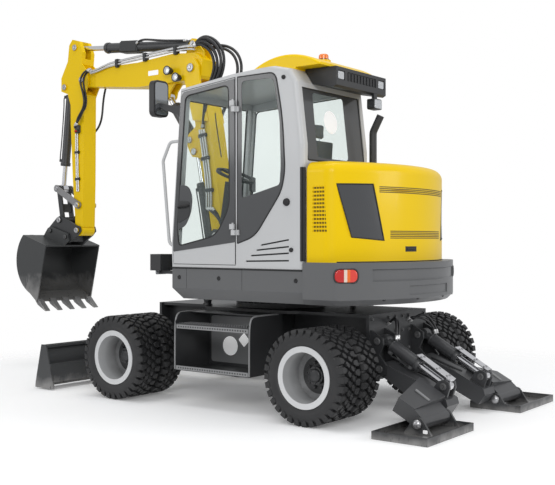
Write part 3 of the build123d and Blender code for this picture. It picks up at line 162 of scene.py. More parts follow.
s = Shader("studio", bpy.data.worlds)
white = s.add("Background", Color=(1, 1, 1))
light = s.add("Background", Color=(0.95, 0.97, 1), Strength=0.5)
seen, mirrored, through = (s.add("LightPath", output=f"Is {ray} Ray")
                           for ray in ("Camera", "Glossy", "Transmission"))
shown = s.math("MAXIMUM", s.math("MAXIMUM", seen, mirrored * 0.3), through)
scene.world = s.surface(s.add("MixShader", _0=shown, _1=light, _2=white), "OutputWorld")

panels = (
    # name, place, aim, width, height, power
    ("key", (-6.5, 8.5, 5.5), (0.3, 0, 1.2), 5.0, 3.5, 400),
    ("front_fill", (6.5, 8.5, 4.5), (0.8, 0, 1.2), 4.0, 3.0, 130),
    ("overhead", (0.0, 0.5, 9.0), (0.2, 0, 0), 6.0, 5.0, 230),
    ("rear_fill", (-8.5, -3.0, 3.5), (-0.5, 0, 1.0), 3.0, 3.0, 170),
)
for name, place, aim, width, height, power in panels:
    lamp = bpy.data.lights.new(name, "AREA")
    lamp.shape = "RECTANGLE"
    lamp.size, lamp.size_y, lamp.energy = width, height, power
    holder = bpy.data.objects.new(name, lamp)
    holder.location = place
    holder.rotation_euler = (Vector(aim) - Vector(place)).to_track_quat("-Z", "Y").to_euler()
    scene.collection.objects.link(holder)

# ---------------------------------------------------------------- boom, arm and body panels
# Welded steel boxes and moulded covers in two-coat warm yellow, sprayed and baked, with a faint
# orange peel. The same gun leaves silver on the cab shell and grey on the lower body.


def sprayed(name, colour, roughness=0.34, coat=0.22):
    """Gloss paint: a slight drift of tone over each panel and a fine orange peel."""
    s = Shader(name)
    cloud = s.noise(1.7, 3.0)
    deep = tuple(c * 0.93 for c in colour)
    peel = s.bump(s.noise(240.0), 0.06, 0.0006)
    return s.surface(s.add("BsdfPrincipled", Base_Color=s.mix(cloud, deep, colour),
                           Roughness=cloud * 0.1 + (roughness - 0.05), Coat_Weight=coat,
                           Coat_Roughness=0.12, Specular_IOR_Level=0.16, Normal=peel))


def coat(material, *names):
    """Gives CAD nodes one material."""
    for name in names:
        slots = nodes[name].data.materials
        slots.clear()
        slots.append(material)


yellow = sprayed("warm_yellow_paint", (0.90, 0.60, 0.001), coat=0.1)
silver = sprayed("silver_shell_paint", (0.56, 0.565, 0.57), roughness=0.36, coat=0.25)
slate = sprayed("slate_body_paint", (0.135, 0.137, 0.14), roughness=0.42, coat=0.25)
painted = (
    (yellow, ("lower_boom", "upper_boom", "arm", "hood", "cab_roof")),
    (silver, ("cab_frame", "cab_door")),
    (slate, ("platform", "counterweight", "side_cover")),
)
for paint, names in painted:
    coat(paint, *names)

# ---------------------------------------------------------------- chassis, axles and ground tools
# Cut and welded plate in near-black powder coat. What digs or stands on the ground is rubbed
# to bare grey steel along its lowest edges.


def powder_coated(name, colour, roughness, worn=None):
    """Baked powder with a fine grain; worn is the (low, high) heights where bare steel fades out."""
    s = Shader(name)
    cloud = s.noise(2.3, 4.0)
    paint = s.mix(cloud, tuple(c * 0.78 for c in colour), colour)
    rough = cloud * 0.12 + (roughness - 0.06)
    metal = 0.0
    if worn:
        low, high = worn
        ragged = s.along(2) + (s.noise(9.0, 6.0) - 0.5) * (high - low) * 1.6
        near = s.add("MapRange", Value=ragged, _1=low, _2=high, _3=1.0, _4=0.0)
        scratched = near * (s.noise(60.0, 4.0, s.place(scale=(1, 1, 0.15))) > 0.36)
        paint = s.mix(scratched, paint, (0.27, 0.265, 0.26))
        metal = scratched * 0.7
        rough = rough - scratched * 0.08
    grain = s.bump(s.noise(420.0), 0.12, 0.0008)
    return s.surface(s.add("BsdfPrincipled", Base_Color=paint, Metallic=metal, Roughness=rough, Normal=grain))


anthracite = powder_coated("anthracite_powder", (0.034, 0.035, 0.037), 0.38)
coat(anthracite, *(name for name in nodes if not any(name in names for _, names in painted)))
coat(powder_coated("bucket_steel", (0.045, 0.047, 0.048), 0.46, worn=(0.88, 1.06)), "bucket")
coat(powder_coated("blade_steel", (0.05, 0.052, 0.054), 0.5, worn=(0.015, 0.13)), "blade")
pad_steel = powder_coated("pad_steel", (0.045, 0.046, 0.048), 0.36, worn=(-0.01, 0.055))
coat(pad_steel, "stabilizer_pad_left", "stabilizer_pad_right")
frame_grey = powder_coated("arm_and_leg_powder", (0.052, 0.053, 0.056), 0.34)
coat(frame_grey, "stabilizer_leg_left", "stabilizer_leg_right", "leg_barrel_left", "leg_barrel_right",
     "stick_barrel", "lift_barrel", "adjust_barrel", "bucket_barrel", "bucket_lever")

# ---------------------------------------------------------------- rods and rails
# Ground and hard-chromed piston rods, and the bent steel grab rail by the door in silver paint.
s = Shader("hard_chrome")
chrome = s.surface(s.add("BsdfPrincipled", Base_Color=(0.72, 0.72, 0.74), Metallic=1.0,
                         Roughness=s.noise(60.0) * 0.08 + 0.14))
coat(chrome, *(f"{n}_rod" for n in ("lift", "adjust", "stick", "bucket", "blade")))
coat(chrome, "leg_rod_left", "leg_rod_right")
coat(silver, "handrail")

# ---------------------------------------------------------------- black trim
# Grained black plastic for housings and trim, and matte black rubber for seals, mats and hoses.


def moulded(name, colour, roughness, grain=260.0):
    """Grained plastic or rubber, a little darker in patches."""
    s = Shader(name)
    cloud = s.noise(5.0, 3.0)
    return s.surface(s.add("BsdfPrincipled", Base_Color=s.mix(cloud, tuple(c * 0.7 for c in colour), colour),
                           Roughness=cloud * 0.14 + (roughness - 0.07),
                           Normal=s.bump(s.noise(grain), 0.3, 0.0012)))


plastic = moulded("grained_black_plastic", (0.028, 0.029, 0.031), 0.5)
seal = moulded("black_rubber_seal", (0.012, 0.012, 0.013), 0.62, 90.0)
hose_rubber = moulded("braided_hose_cover", (0.016, 0.016, 0.018), 0.42, 700.0)
coat(plastic, "fittings", "cab_controls", "boom_lamps")

# ---------------------------------------------------------------- tyres
# Twin industrial tyres on each hub: a moulded carcass with a smooth round sidewall, and deep
# angled blocks in four staggered rows. The outer rows run down over the shoulder.
tread_pitches = 32
carcass_radius = 0.353
tread_height = 0.0285
half_tyre = 0.126
inner_faces = (0.600, 0.898)
axle_x = {"front": 1.065, "rear": -1.065}
hub_height = 0.382
sides = ((1, "left"), (-1, "right"))


def add_piece(name, mesh, material, body):
    """Puts a finished mesh in the scene, riding on a body if one is named."""
    mesh.materials.clear()
    mesh.materials.append(material)
    piece = bpy.data.objects.new(name, mesh)
    scene.collection.objects.link(piece)
    if body:
        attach(piece, body)
    return piece


def shape_now(holder):
    """The evaluated shape of an object as a plain mesh."""
    bpy.context.view_layer.update()
    return bpy.data.meshes.new_from_object(holder.evaluated_get(bpy.context.evaluated_depsgraph_get()))


def meshed(holder, smooth=True):
    """The evaluated shape carried to its object's place; the object goes."""
    mesh = shape_now(holder)
    mesh.transform(holder.matrix_world)
    for face in mesh.polygons:
        face.use_smooth = smooth
    bpy.data.objects.remove(holder)
    return mesh


def ring_tree():
    """Geometry nodes: the part's own mesh set round a circle, its x pointing outward."""
    tree = bpy.data.node_groups.new("set_round_a_circle", "GeometryNodeTree")
    made = tree.interface
    made.new_socket("Geometry", in_out="INPUT", socket_type="NodeSocketGeometry")
    made.new_socket("Count", in_out="INPUT", socket_type="NodeSocketInt")
    made.new_socket("Radius", in_out="INPUT", socket_type="NodeSocketFloat")
    made.new_socket("Material", in_out="INPUT", socket_type="NodeSocketMaterial")
    made.new_socket("Geometry", in_out="OUTPUT", socket_type="NodeSocketGeometry")
    new, join = tree.nodes.new, tree.links.new
    given, result = new("NodeGroupInput"), new("NodeGroupOutput")
    circle = new("GeometryNodeMeshCircle")
    join(given.outputs["Count"], circle.inputs["Vertices"])
    join(given.outputs["Radius"], circle.inputs["Radius"])
    spot = new("GeometryNodeInputPosition")
    face_out = new("FunctionNodeAlignRotationToVector")
    face_out.axis = "X"
    join(spot.outputs[0], face_out.inputs["Vector"])
    put = new("GeometryNodeInstanceOnPoints")
    join(circle.outputs[0], put.inputs["Points"])
    join(given.outputs["Geometry"], put.inputs["Instance"])
    join(face_out.outputs[0], put.inputs["Rotation"])
    real = new("GeometryNodeRealizeInstances")
    join(put.outputs[0], real.inputs[0])
    paint = new("GeometryNodeSetMaterial")
    join(real.outputs[0], paint.inputs["Geometry"])
    join(given.outputs["Material"], paint.inputs["Material"])
    join(paint.outputs[0], result.inputs[0])
    return tree


round_a_circle = ring_tree()


def set_round(part, count, radius, material, place):
    """One copied mesh set round a circle and carried to its place; returns a plain mesh."""
    holder = bpy.data.objects.new("ring", part)
    scene.collection.objects.link(holder)
    maker = holder.modifiers.new("ring", "NODES")
    maker.node_group = round_a_circle
    chosen = {"Count": count, "Radius": radius, "Material": material}
    for item in round_a_circle.interface.items_tree:
        if item.in_out == "INPUT" and item.name in chosen:
            maker[item.identifier] = chosen[item.name]
    holder.matrix_world = place
    return meshed(holder, smooth=False)


def merged(meshes):
    """Several meshes as one."""
    bm = bmesh.new()
    for mesh in meshes:
        bm.from_mesh(mesh)
    result = bpy.data.meshes.new("merged")
    bm.to_mesh(result)
    bm.free()
    return result


def turned(profile, steps, closed=False):
    """A bmesh spun round the z axis from (radius, z) points; poles are welded."""
    bm = bmesh.new()
    verts = [bm.verts.new((r, 0, z)) for r, z in profile]
    pairs = list(zip(verts, verts[1:])) + ([(verts[-1], verts[0])] if closed else [])
    edges = [bm.edges.new(pair) for pair in pairs]
    bmesh.ops.spin(bm, geom=verts + edges, cent=(0, 0, 0), axis=(0, 0, 1), angle=2 * math.pi, steps=steps,
                   use_merge=True)
    bmesh.ops.remove_doubles(bm, verts=bm.verts, dist=1e-5)
    bmesh.ops.recalc_face_normals(bm, faces=bm.faces)
    for face in bm.faces:
        face.smooth = True
    return bm


def baked(bm, place=None):
    """The mesh of a finished bmesh, carried to its place."""
    mesh = bpy.data.meshes.new("baked")
    bm.to_mesh(mesh)
    bm.free()
    if place is not None:
        mesh.transform(place)
    return mesh


def at(spot, degrees=0.0, axis="X"):
    """A place: turned about one axis, then carried to its spot."""
    return Matrix.Translation(spot) @ Matrix.Rotation(math.radians(degrees), 4, axis)


def lofted(rings):
    """A bmesh skinned over closed rings of points, one after the other, with both ends shut."""
    bm = bmesh.new()
    rows = [[bm.verts.new(spot) for spot in ring] for ring in rings]
    for low, high in zip(rows, rows[1:]):
        for n in range(len(low)):
            m = (n + 1) % len(low)
            bm.faces.new((low[n], low[m], high[m], high[n]))
    bm.faces.new(rows[0][::-1])
    bm.faces.new(rows[-1])
    bmesh.ops.recalc_face_normals(bm, faces=bm.faces)
    return bm


def round_hub(angle):
    """Carries a block that stands on the carcass round to its own pitch."""
    to_hub = Matrix.Translation((-carcass_radius, 0, 0))
    return to_hub @ Matrix.Rotation(angle, 4, "Z") @ to_hub.inverted()


def tread_block(outline, angle=0.0):
    """A tapered block rooted in the carcass; x is outward, z along the axle."""
    middle = sum((Vector(p) for p in outline), Vector((0, 0))) / len(outline)
    crown = [(tread_height, *(middle + (Vector(p) - middle) * 0.86)) for p in outline]
    bm = lofted(([(-0.006, y, z) for y, z in outline], crown))
    top = [e for e in bm.edges if all(abs(v.co.x - tread_height) < 1e-6 for v in e.verts)]
    bmesh.ops.bevel(bm, geom=top, offset=0.0022, segments=1, affect="EDGES")
    return baked(bm, round_hub(angle))


def shoulder_wedge(hand, angle=0.0):
    """The part of an outer block that laps down the sidewall."""
    rows = (
        # height over the carcass, half width, z at its outside, z at its inside
        (0.0255, 0.0245, 0.1175, 0.100), (0.004, 0.024, 0.1252, 0.100), (-0.026, 0.017, 0.1258, 0.110),
    )
    rings = [[(x, y, hand * z) for y, z in ((-w, a), (w, a), (w, b), (-w, b))] for x, w, a, b in rows]
    return baked(lofted(rings), round_hub(angle))


half_pitch = math.pi / tread_pitches
outer_row = [(-0.027, 0.118), (0.027, 0.118), (0.029, 0.088), (0.014, 0.056), (-0.012, 0.050),
             (-0.030, 0.082)]
inner_row = [(-0.031, 0.022), (-0.012, 0.046), (0.017, 0.049), (0.030, 0.030), (0.010, 0.006),
             (-0.018, 0.003)]
pitch_parts = [
    tread_block(outer_row),
    shoulder_wedge(1),
    tread_block(inner_row, half_pitch),
    tread_block([(-y, -z) for y, z in outer_row], half_pitch),
    shoulder_wedge(-1, half_pitch),
    tread_block([(-y, -z) for y, z in inner_row]),
]

s = Shader("tyre_rubber")
dust = s.mix(s.noise(7.0, 4.0), (0.007, 0.007, 0.008), (0.022, 0.022, 0.023))
rubber = s.surface(s.add("BsdfPrincipled", Base_Color=dust, Roughness=s.noise(12.0) * 0.18 + 0.44,
                         Normal=s.bump(s.noise(190.0), 0.25, 0.0012)))

tread = set_round(merged(pitch_parts), tread_pitches, carcass_radius, rubber, Matrix())
half_profile = [
    (0.2125, 0.1), (0.222, 0.1035), (0.246, 0.1045), (0.252, 0.110), (0.262, 0.1165), (0.266, 0.1185),
    (0.272, 0.1178), (0.276, 0.1200), (0.292, 0.1235), (0.310, 0.1248), (0.326, 0.1236), (0.340, 0.120),
    (0.350, 0.112), (0.3535, 0.100), (0.3535, 0.06),
]
profile = half_profile + [(r, -z) for r, z in reversed(half_profile)]
one_tyre = merged([baked(turned(profile, steps=72, closed=True)), tread])
for place, x in axle_x.items():
    for hand, side in sides:
        copies = []
        for inner_face in inner_faces:
            copy = one_tyre.copy()
            stagger = Matrix.Rotation(inner_face * 0.7, 4, "Z")
            copy.transform(at((x, hand * (inner_face + half_tyre), hub_height), -90) @ stagger)
            copies.append(copy)
        wheel = add_piece(f"tread_tyres_{place}_{side}", merged(copies), rubber, f"wheels_{place}_{side}")
        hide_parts(f"tyres_{place}_{side}")

# ---------------------------------------------------------------- rims and wheel nuts
# Dished steel rims in silver enamel, with painted shade darkening deep in the dish and round the
# hub, ten nuts on the disc and a dark hub cap in the bore, held by eight small bolts.
shaded_hub_radius = 0.150
nut_circle, nut_seat = 0.103, 0.922
cap_circle, cap_seat = 0.064, 0.972
s = Shader("wheel_silver")
rim_blotches = s.noise(14.0, 4.0)
# Painted shade: the silver darkens toward the inside of the dish and is near black round the recessed hub.
depth = s.add("MapRange", Value=s.math("ABSOLUTE", s.along(1)), _1=0.90, _2=1.06, _3=0.75, _4=0.0)
beside, above = s.math("ABSOLUTE", s.along(0)) - axle_x["front"], s.along(2) - hub_height
from_axle = s.math("SQRT", beside * beside + above * above)
dish = s.mix(depth * (rim_blotches * 0.5 + 0.8), (0.62, 0.625, 0.63), (0.045, 0.045, 0.046))
dish = s.mix(from_axle < shaded_hub_radius, dish, (0.035, 0.035, 0.036))
rim_silver = s.surface(s.add("BsdfPrincipled", Base_Color=dish, Metallic=0.35, Roughness=rim_blotches * 0.2 + 0.3,
                             Coat_Weight=0.2))
coat(rim_silver, *(f"rims_{place}_{side}" for place in axle_x for _, side in sides))


def bolt_head(size, height):
    """A hexagon head on a washer, lying on its face with z up."""
    bm = bmesh.new()
    washer = bmesh.ops.create_cone(bm, cap_ends=True, segments=16, radius1=size * 1.35,
                                   radius2=size * 1.35, depth=height * 0.25)
    bmesh.ops.translate(bm, verts=washer["verts"], vec=(0, 0, height * 0.125))
    head = bmesh.ops.create_cone(bm, cap_ends=True, segments=6, radius1=size, radius2=size, depth=height)
    bmesh.ops.translate(bm, verts=head["verts"], vec=(0, 0, height * 0.75))
    top = [e for e in bm.edges if all(v.co.z > height for v in e.verts)]
    bmesh.ops.bevel(bm, geom=top, offset=size * 0.16, segments=1, affect="EDGES")
    return baked(bm)


hub_cap = [(0.0, 0.018), (0.040, 0.018), (0.052, 0.012), (0.056, 0.0), (0.0, 0.0)]
for place, x in axle_x.items():
    for hand, side in sides:
        hub = at((x, 0, hub_height), -90 * hand)
        on_disc, on_cap = hub @ at((0, 0, nut_seat)), hub @ at((0, 0, cap_seat))
        nuts = set_round(bolt_head(0.0135, 0.016), 10, nut_circle, rim_silver, on_disc)
        small = set_round(bolt_head(0.006, 0.005), 8, cap_circle, anthracite, on_cap)
        cap = baked(turned(hub_cap, 32), on_cap)
        add_piece(f"wheel_nuts_{place}_{side}", nuts, rim_silver, f"wheels_{place}_{side}")
        add_piece(f"hub_cap_{place}_{side}", merged([cap, small]), anthracite, f"wheels_{place}_{side}")

# ---------------------------------------------------------------- slew ring bolts
# Thirty-six high-tensile bolts hold the ring's lower flange to the deck.
bolt_circle, flange_top = 0.402, 0.8825
ring_bolts = set_round(bolt_head(0.012, 0.010), 36, bolt_circle, anthracite, at((0, 0, flange_top)))
add_piece("slew_ring_bolts", ring_bolts, anthracite, "undercarriage")

# ---------------------------------------------------------------- cab glazing
# Green-tinged safety glass. The door and quarter panes carry a wide dark ceramic border, and
# black rubber seals run round every clear opening.
s = Shader("cab_glass_pane")
pane = s.add("BsdfPrincipled", Base_Color=(0.4, 0.45, 0.45), Roughness=0.02)
through = s.add("BsdfTransparent", Color=(0.965, 0.985, 0.978))
facing = s.add("LayerWeight", output=1, Blend=0.3)
clear_glass = s.surface(s.add("MixShader", _0=facing * facing * 0.5 + 0.03, _1=through, _2=pane))
coat(clear_glass, "cab_glass", "door_glass")
border = sprayed("ceramic_glass_border", (0.075, 0.077, 0.08), roughness=0.18, coat=0.6)
upper = "upper_structure"
pane_face = 0.952


def bent(name, points, radius, material, body, closed=False, order=4, sides=4):
    """A tube along a smooth curve led by given points."""
    curve = bpy.data.curves.new(name, "CURVE")
    curve.dimensions = "3D"
    curve.resolution_u = 8
    curve.bevel_depth = radius
    curve.bevel_resolution = sides
    curve.use_fill_caps = not closed
    spline = curve.splines.new("NURBS" if order > 1 else "POLY")
    spline.points.add(len(points) - 1)
    for point, spot in zip(spline.points, points):
        point.co = (*spot, 1)
    spline.use_cyclic_u = closed
    if order > 1:
        spline.order_u = min(order, len(points))
        spline.use_endpoint_u = not closed
    holder = bpy.data.objects.new(name, curve)
    scene.collection.objects.link(holder)
    return add_piece(name, meshed(holder), material, body)


def rounded(points, radius):
    """Corners of a flat outline turned into short arcs. radius: one, or one for each corner."""
    result = []
    count = len(points)
    for n in range(count):
        here = Vector(points[n])
        before, after = Vector(points[n - 1]), Vector(points[(n + 1) % count])
        r = radius[n] if isinstance(radius, (list, tuple)) else radius
        run_in, run_out = (before - here), (after - here)
        reach = min(r, run_in.length * 0.45, run_out.length * 0.45)
        a, b = here + run_in.normalized() * reach, here + run_out.normalized() * reach
        steps = 6 if reach > 0.004 else 1
        for k in range(steps + 1):
            t = k / steps
            result.append(a * (1 - t) ** 2 + here * (2 * t * (1 - t)) + b * t**2)
    return [tuple(p) for p in result]


def panel(x0, x1, z0, z1, radius):
    """A rectangle with rounded corners."""
    return rounded([(x0, z0), (x1, z0), (x1, z1), (x0, z1)], radius)


def pressed(name, outlines, y, thickness, material, body, bevel=0.0012, turn=None):
    """A flat sheet with holes, cut from (x, z) outlines and standing at y, its edges eased.

    turn: a matrix that carries the sheet from the x-z plane to its place.
    """
    curve = bpy.data.curves.new(name, "CURVE")
    curve.dimensions = "2D"
    curve.fill_mode = "BOTH"
    curve.extrude = thickness / 2 - bevel
    curve.bevel_depth = bevel
    curve.bevel_resolution = 1
    for line in outlines:
        spline = curve.splines.new("POLY")
        spline.points.add(len(line) - 1)
        for point, (x, z) in zip(spline.points, line):
            point.co = (x, z, 0, 1)
        spline.use_cyclic_u = True
    holder = bpy.data.objects.new(name, curve)
    stand = Matrix.Translation((0, y, 0)) @ Matrix.Rotation(math.radians(90), 4, "X")
    holder.matrix_world = turn @ stand if turn else stand
    scene.collection.objects.link(holder)
    return add_piece(name, meshed(holder, smooth=False), material, body)


door_clear = rounded([(0.338, 2.722), (-0.157, 2.773), (-0.166, 1.738), (-0.018, 1.492), (0.418, 1.402),
                      (0.438, 1.560)], (0.05, 0.06, 0.09, 0.10, 0.04, 0.06))
door_border = rounded([(0.482, 1.352), (0.4855, 1.440), (0.385, 2.757), (-0.218, 2.818), (-0.223, 1.436)],
                      (0.004, 0.004, 0.05, 0.004, 0.004))
pressed("door_glass_border", (door_border, door_clear), pane_face, 0.004, border, "door")
door_seal = [(x, pane_face - 0.001, z) for x, z in door_clear]
bent("door_glass_seal", door_seal, 0.0065, seal, "door", closed=True, order=1)
handle_panel = rounded([(0.440, 1.945), (0.302, 1.930), (0.256, 1.840), (0.268, 1.700), (0.340, 1.575),
                        (0.437, 1.548)], (0.01, 0.06, 0.06, 0.08, 0.06, 0.01))
pressed("door_handle_panel", (handle_panel,), pane_face + 0.0005, 0.005, border, "door")
handle_cup = rounded([(0.425, 1.80), (0.285, 1.79), (0.290, 1.66), (0.425, 1.60)], 0.03)
pressed("door_handle_cup", (handle_cup,), pane_face + 0.004, 0.006, plastic, "door")
handle = [(0.415, 0.958, 1.742), (0.41, 0.985, 1.748), (0.36, 0.990, 1.752), (0.31, 0.985, 1.756),
          (0.30, 0.958, 1.757)]
bent("door_handle", handle, 0.010, seal, "door")

quarter_clear = rounded([(-0.300, 2.790), (-0.640, 2.785), (-0.700, 2.440), (-0.712, 2.060), (-0.700, 1.905),
                         (-0.300, 1.805)], (0.04, 0.06, 0.05, 0.05, 0.03, 0.03))
quarter_border = rounded([(-0.254, 2.828), (-0.655, 2.830), (-0.728, 2.455), (-0.752, 2.015), (-0.716, 1.853),
                          (-0.442, 1.486), (-0.254, 1.426)], (0.004, 0.07, 0.2, 0.12, 0.12, 0.16, 0.004))
pressed("quarter_glass_border", (quarter_border, quarter_clear), pane_face, 0.004, border, upper)
quarter_seal = [(x, pane_face - 0.001, z) for x, z in quarter_border]
bent("quarter_glass_seal", quarter_seal, 0.006, seal, upper, closed=True, order=1)
door_gap = [(-0.231, 0.948, 1.25), (-0.2255, 0.948, 2.83)]
bent("door_gap_seal", door_gap, 0.0055, seal, upper, order=1)

# The rear pane stands at a slight lean; its border is widest over the right pillar.
rear_lean = at((-0.9245, 0, 2.100), 6.65, "Y") @ at((0, 0, 0), 90, "Z")
rear_border = panel(0.018, 0.872, 0.004, 0.600, 0.02)
rear_clear = rounded([(0.262, 0.030), (0.730, 0.030), (0.720, 0.575), (0.262, 0.575)], 0.04)
pressed("rear_glass_border", (rear_border, rear_clear), 0, 0.003, border, upper, turn=rear_lean)
for name, across in (("rear_pillar_trim_a", 0.215), ("rear_pillar_trim_b", 0.120)):
    strip = panel(across, across + 0.02, 0.01, 0.59, 0.004)
    pressed(name, (strip,), 0, 0.010, seal, upper, turn=rear_lean @ at((0, -0.006, 0)))
seal_path = [rear_lean @ Vector((x, 0, z)) for x, z in rear_border]
bent("rear_glass_seal", seal_path, 0.007, seal, upper, closed=True, order=1)
corner = [rear_lean @ Vector((-0.020, -0.0385, up)) for up in (0.0, 0.3, 0.605)]
bent("rear_corner_trim", corner, 0.0415, border, upper, order=1, sides=8)


def toned(name, scale, first, second, roughness, grain=None, **settings):
    """A finish that drifts between two tones; grain is the scale and swing of its roughness."""
    s = Shader(name)
    tone = s.mix(s.noise(scale), first, second)
    if grain:
        roughness = s.noise(grain[0]) * grain[1] + roughness
    return s.surface(s.add("BsdfPrincipled", Base_Color=tone, Roughness=roughness, **settings))


def disc_line(x, z, radius, steps=40):
    """A circle as a flat outline."""
    turns = [2 * math.pi * n / steps for n in range(steps)]
    return [(x + radius * math.cos(turn), z + radius * math.sin(turn)) for turn in turns]


# The blanks glow a little: painted light that keeps them white where they sit in shade.
self_lit_blank_white = toned("blank_white_decal", 30.0, (0.82, 0.82, 0.82), (0.88, 0.88, 0.88), 0.35,
                    Emission_Color=(1, 1, 1), Emission_Strength=0.22)
pressed("rear_blank_disc", (disc_line(0.492, 0.345, 0.098),), 0, 0.002, self_lit_blank_white, upper, bevel=0.0004,
        turn=rear_lean @ at((0, 0.006, 0)))
windscreen = [(0.500, 0.872, 1.335), (0.500, 0.018, 1.335), (0.3985, 0.018, 2.697), (0.3985, 0.872, 2.697)]
bent("windscreen_seal", windscreen, 0.008, seal, upper, closed=True, order=1)
right_pane = rounded([(0.420, 1.780), (0.345, 2.690), (-0.770, 2.745), (-0.820, 2.230), (-0.830, 1.780)],
                     0.05)
right_seal = [(x, -0.061, z) for x, z in right_pane]
bent("right_glass_seal", right_seal, 0.007, seal, upper, closed=True, order=1)

# ---------------------------------------------------------------- cab trim
# Rubber stop buffers, the black seal between cab and platform, and dark strips set in the air
# slots cut in the shell as painted shade.
stops = ((-0.770, 1.762, 1.7, 1.4), (-0.740, 2.779, 1, 1), (-0.816, 1.374, 1, 1))
for n, (x, z, wider, taller) in enumerate(stops):
    knob = [(0.0, 0.016), (0.012, 0.0155), (0.0165, 0.012), (0.0185, 0.004), (0.0185, 0.0), (0.0, 0.0)]
    knob = [(r * wider, h * taller) for r, h in knob]
    add_piece(f"cab_stop_{n}", baked(turned(knob, 28), at((x, 0.950, z), -90)), seal, upper)
slot_rear = -0.788
slots = ((-0.506, 1.405, 1.450), (-0.459, 1.363, 1.394), (-0.400, 1.317, 1.341), (-0.346, 1.270, 1.280))
# Painted shade: a black strip set a little behind each slot.
for n, (front, low, high) in enumerate(slots):
    strip = [(front, low + 0.001), (slot_rear, high + 0.001), (slot_rear, high + 0.012), (front, low + 0.012)]
    pressed(f"air_slot_shade_{n}", (strip,), 0.9375, 0.003, seal, upper, bevel=0.0005)
bent("cab_foot_seal", [(0.500, 0.9515, 1.2085), (-0.925, 0.9515, 1.2085)], 0.0075, seal, upper, order=1)

# ---------------------------------------------------------------- hood trim
# Louvred strips pressed into the tail with painted shade in dark yellow behind them, a satin dark
# panel let into each rear corner behind a rubber seal, side grilles with ribs and the same painted
# shade behind their slots, and a black latch pocket with its pull.
hood_radius = 1.490
grille_front = -1.010
grille_side = 0.9235


def on_tail(turn, z, out):
    """A point on the tail, turn degrees round from straight back toward the left."""
    a = math.radians(turn)
    return Vector((-(hood_radius + out) * math.cos(a), (hood_radius + out) * math.sin(a), z))


def curved_sheet(name, corners, out, thickness, material):
    """A sheet laid on the tail between four (turn, z) corners, given round its outline."""
    a, b, c, d = (Vector(p) for p in corners)
    across, up = 14, 4
    bm = bmesh.new()
    grid = []
    for i in range(across + 1):
        near, far = a.lerp(b, i / across), d.lerp(c, i / across)
        spots = [near.lerp(far, j / up) for j in range(up + 1)]
        grid.append([bm.verts.new(on_tail(spot.x, spot.y, out)) for spot in spots])
    for i in range(across):
        for j in range(up):
            bm.faces.new((grid[i][j], grid[i][j + 1], grid[i + 1][j + 1], grid[i + 1][j]))
    bmesh.ops.recalc_face_normals(bm, faces=bm.faces)
    middle = grid[across // 2][up // 2]
    if middle.normal.dot(Vector((middle.co.x, middle.co.y, 0))) < 0:
        bmesh.ops.reverse_faces(bm, faces=bm.faces)
    bmesh.ops.solidify(bm, geom=bm.faces[:], thickness=thickness)
    return add_piece(name, baked(bm), material, upper)


def boxed(size, place, ease=0.0, segments=2):
    """A box, its edges eased or sharp, carried to its place."""
    bm = bmesh.new()
    bmesh.ops.create_cube(bm, size=1)
    bmesh.ops.scale(bm, vec=size, verts=bm.verts)
    if ease:
        bmesh.ops.bevel(bm, geom=bm.edges[:], offset=ease, segments=segments, affect="EDGES")
    return baked(bm, place)


dark_panel = sprayed("satin_panel_grey", (0.07, 0.072, 0.076), roughness=0.35, coat=0.3)
# Painted shade: the yellow paint darkened to about a fifth, laid behind the louvres and the grille slots.
louvre_and_grille_shade = moulded("louvre_painted_shade", (0.20, 0.135, 0.01), 0.6)
for hand, side in sides:
    corners = [(hand * 36.0, 1.898), (hand * 23.4, 1.903), (hand * 19.1, 1.451), (hand * 31.0, 1.476)]
    curved_sheet(f"hood_corner_panel_{side}", corners, -0.0030, 0.003, dark_panel)
    edge = []
    for first, second in zip(corners, corners[1:] + corners[:1]):
        spots = [Vector(first).lerp(Vector(second), k / 8) for k in range(8)]
        edge += [on_tail(spot.x, spot.y, -0.001) for spot in spots]
    bent(f"hood_panel_seal_{side}", edge, 0.0045, seal, upper, closed=True, order=1)
louvre_pitch = 0.014
for name, base, count, half_turn in (("upper", 1.836, 4, 21), ("lower", 1.464, 5, 16.5)):
    strips = []
    for n in range(count):
        low = base + n * louvre_pitch + 0.0015
        section = ((0.0, -0.001), (0.0, -0.006), (0.0085, -0.006), (0.0085, -0.001))
        turns = [-half_turn + 2 * half_turn * i / 40 for i in range(41)]
        strips.append(baked(lofted([[on_tail(turn, low + z, out) for z, out in section] for turn in turns])))
    add_piece(f"hood_{name}_louvre_painted_shade", merged(strips), louvre_and_grille_shade, upper)
# Painted shade behind the side grilles' slots.
grille_shade_boxes = []
for n in range(12):
    rise = n * 0.031
    rear = -1.138 + rise * 0.07
    for y in (grille_side, -grille_side):
        place = at(((rear + grille_front) / 2, y * 0.990, 1.5285 + rise))
        grille_shade_boxes.append(boxed((grille_front - rear, 0.002, 0.015), place))
add_piece("hood_side_grille_painted_shade", merged(grille_shade_boxes), louvre_and_grille_shade, upper)
for hand, side in sides:
    y = hand * (grille_side + 0.002)
    for n in range(5):
        x = grille_front - 0.008 - n * 0.026
        rib = [(x, y, 1.512), (x - 0.003, y, 1.890)]
        bent(f"hood_grille_rib_{side}_{n}", rib, 0.0028, yellow, upper, order=1, sides=2)
for n, (x, y) in enumerate(((-0.9310, 0.9330), (-0.9130, 0.9430))):
    bent(f"hood_front_seal_{n}", [(x, y, 1.285), (x, y, 2.04)], 0.0125, seal, upper, order=1)
pocket = [(9.6, 1.402), (3.6, 1.402), (3.6, 1.358), (9.6, 1.358)]
curved_sheet("hood_latch_pocket", pocket, 0.0005, 0.0015, seal)
latch = [on_tail(turn, 1.380, 0.004) for turn in (8.6, 7.4, 5.8, 4.6)]
bent("hood_latch_pull", latch, 0.0045, plastic, upper)
foot = [on_tail(turn, 1.279, 0.001) for turn in range(-36, 37, 3)]
bent("hood_split_line", foot, 0.004, seal, upper, order=1)

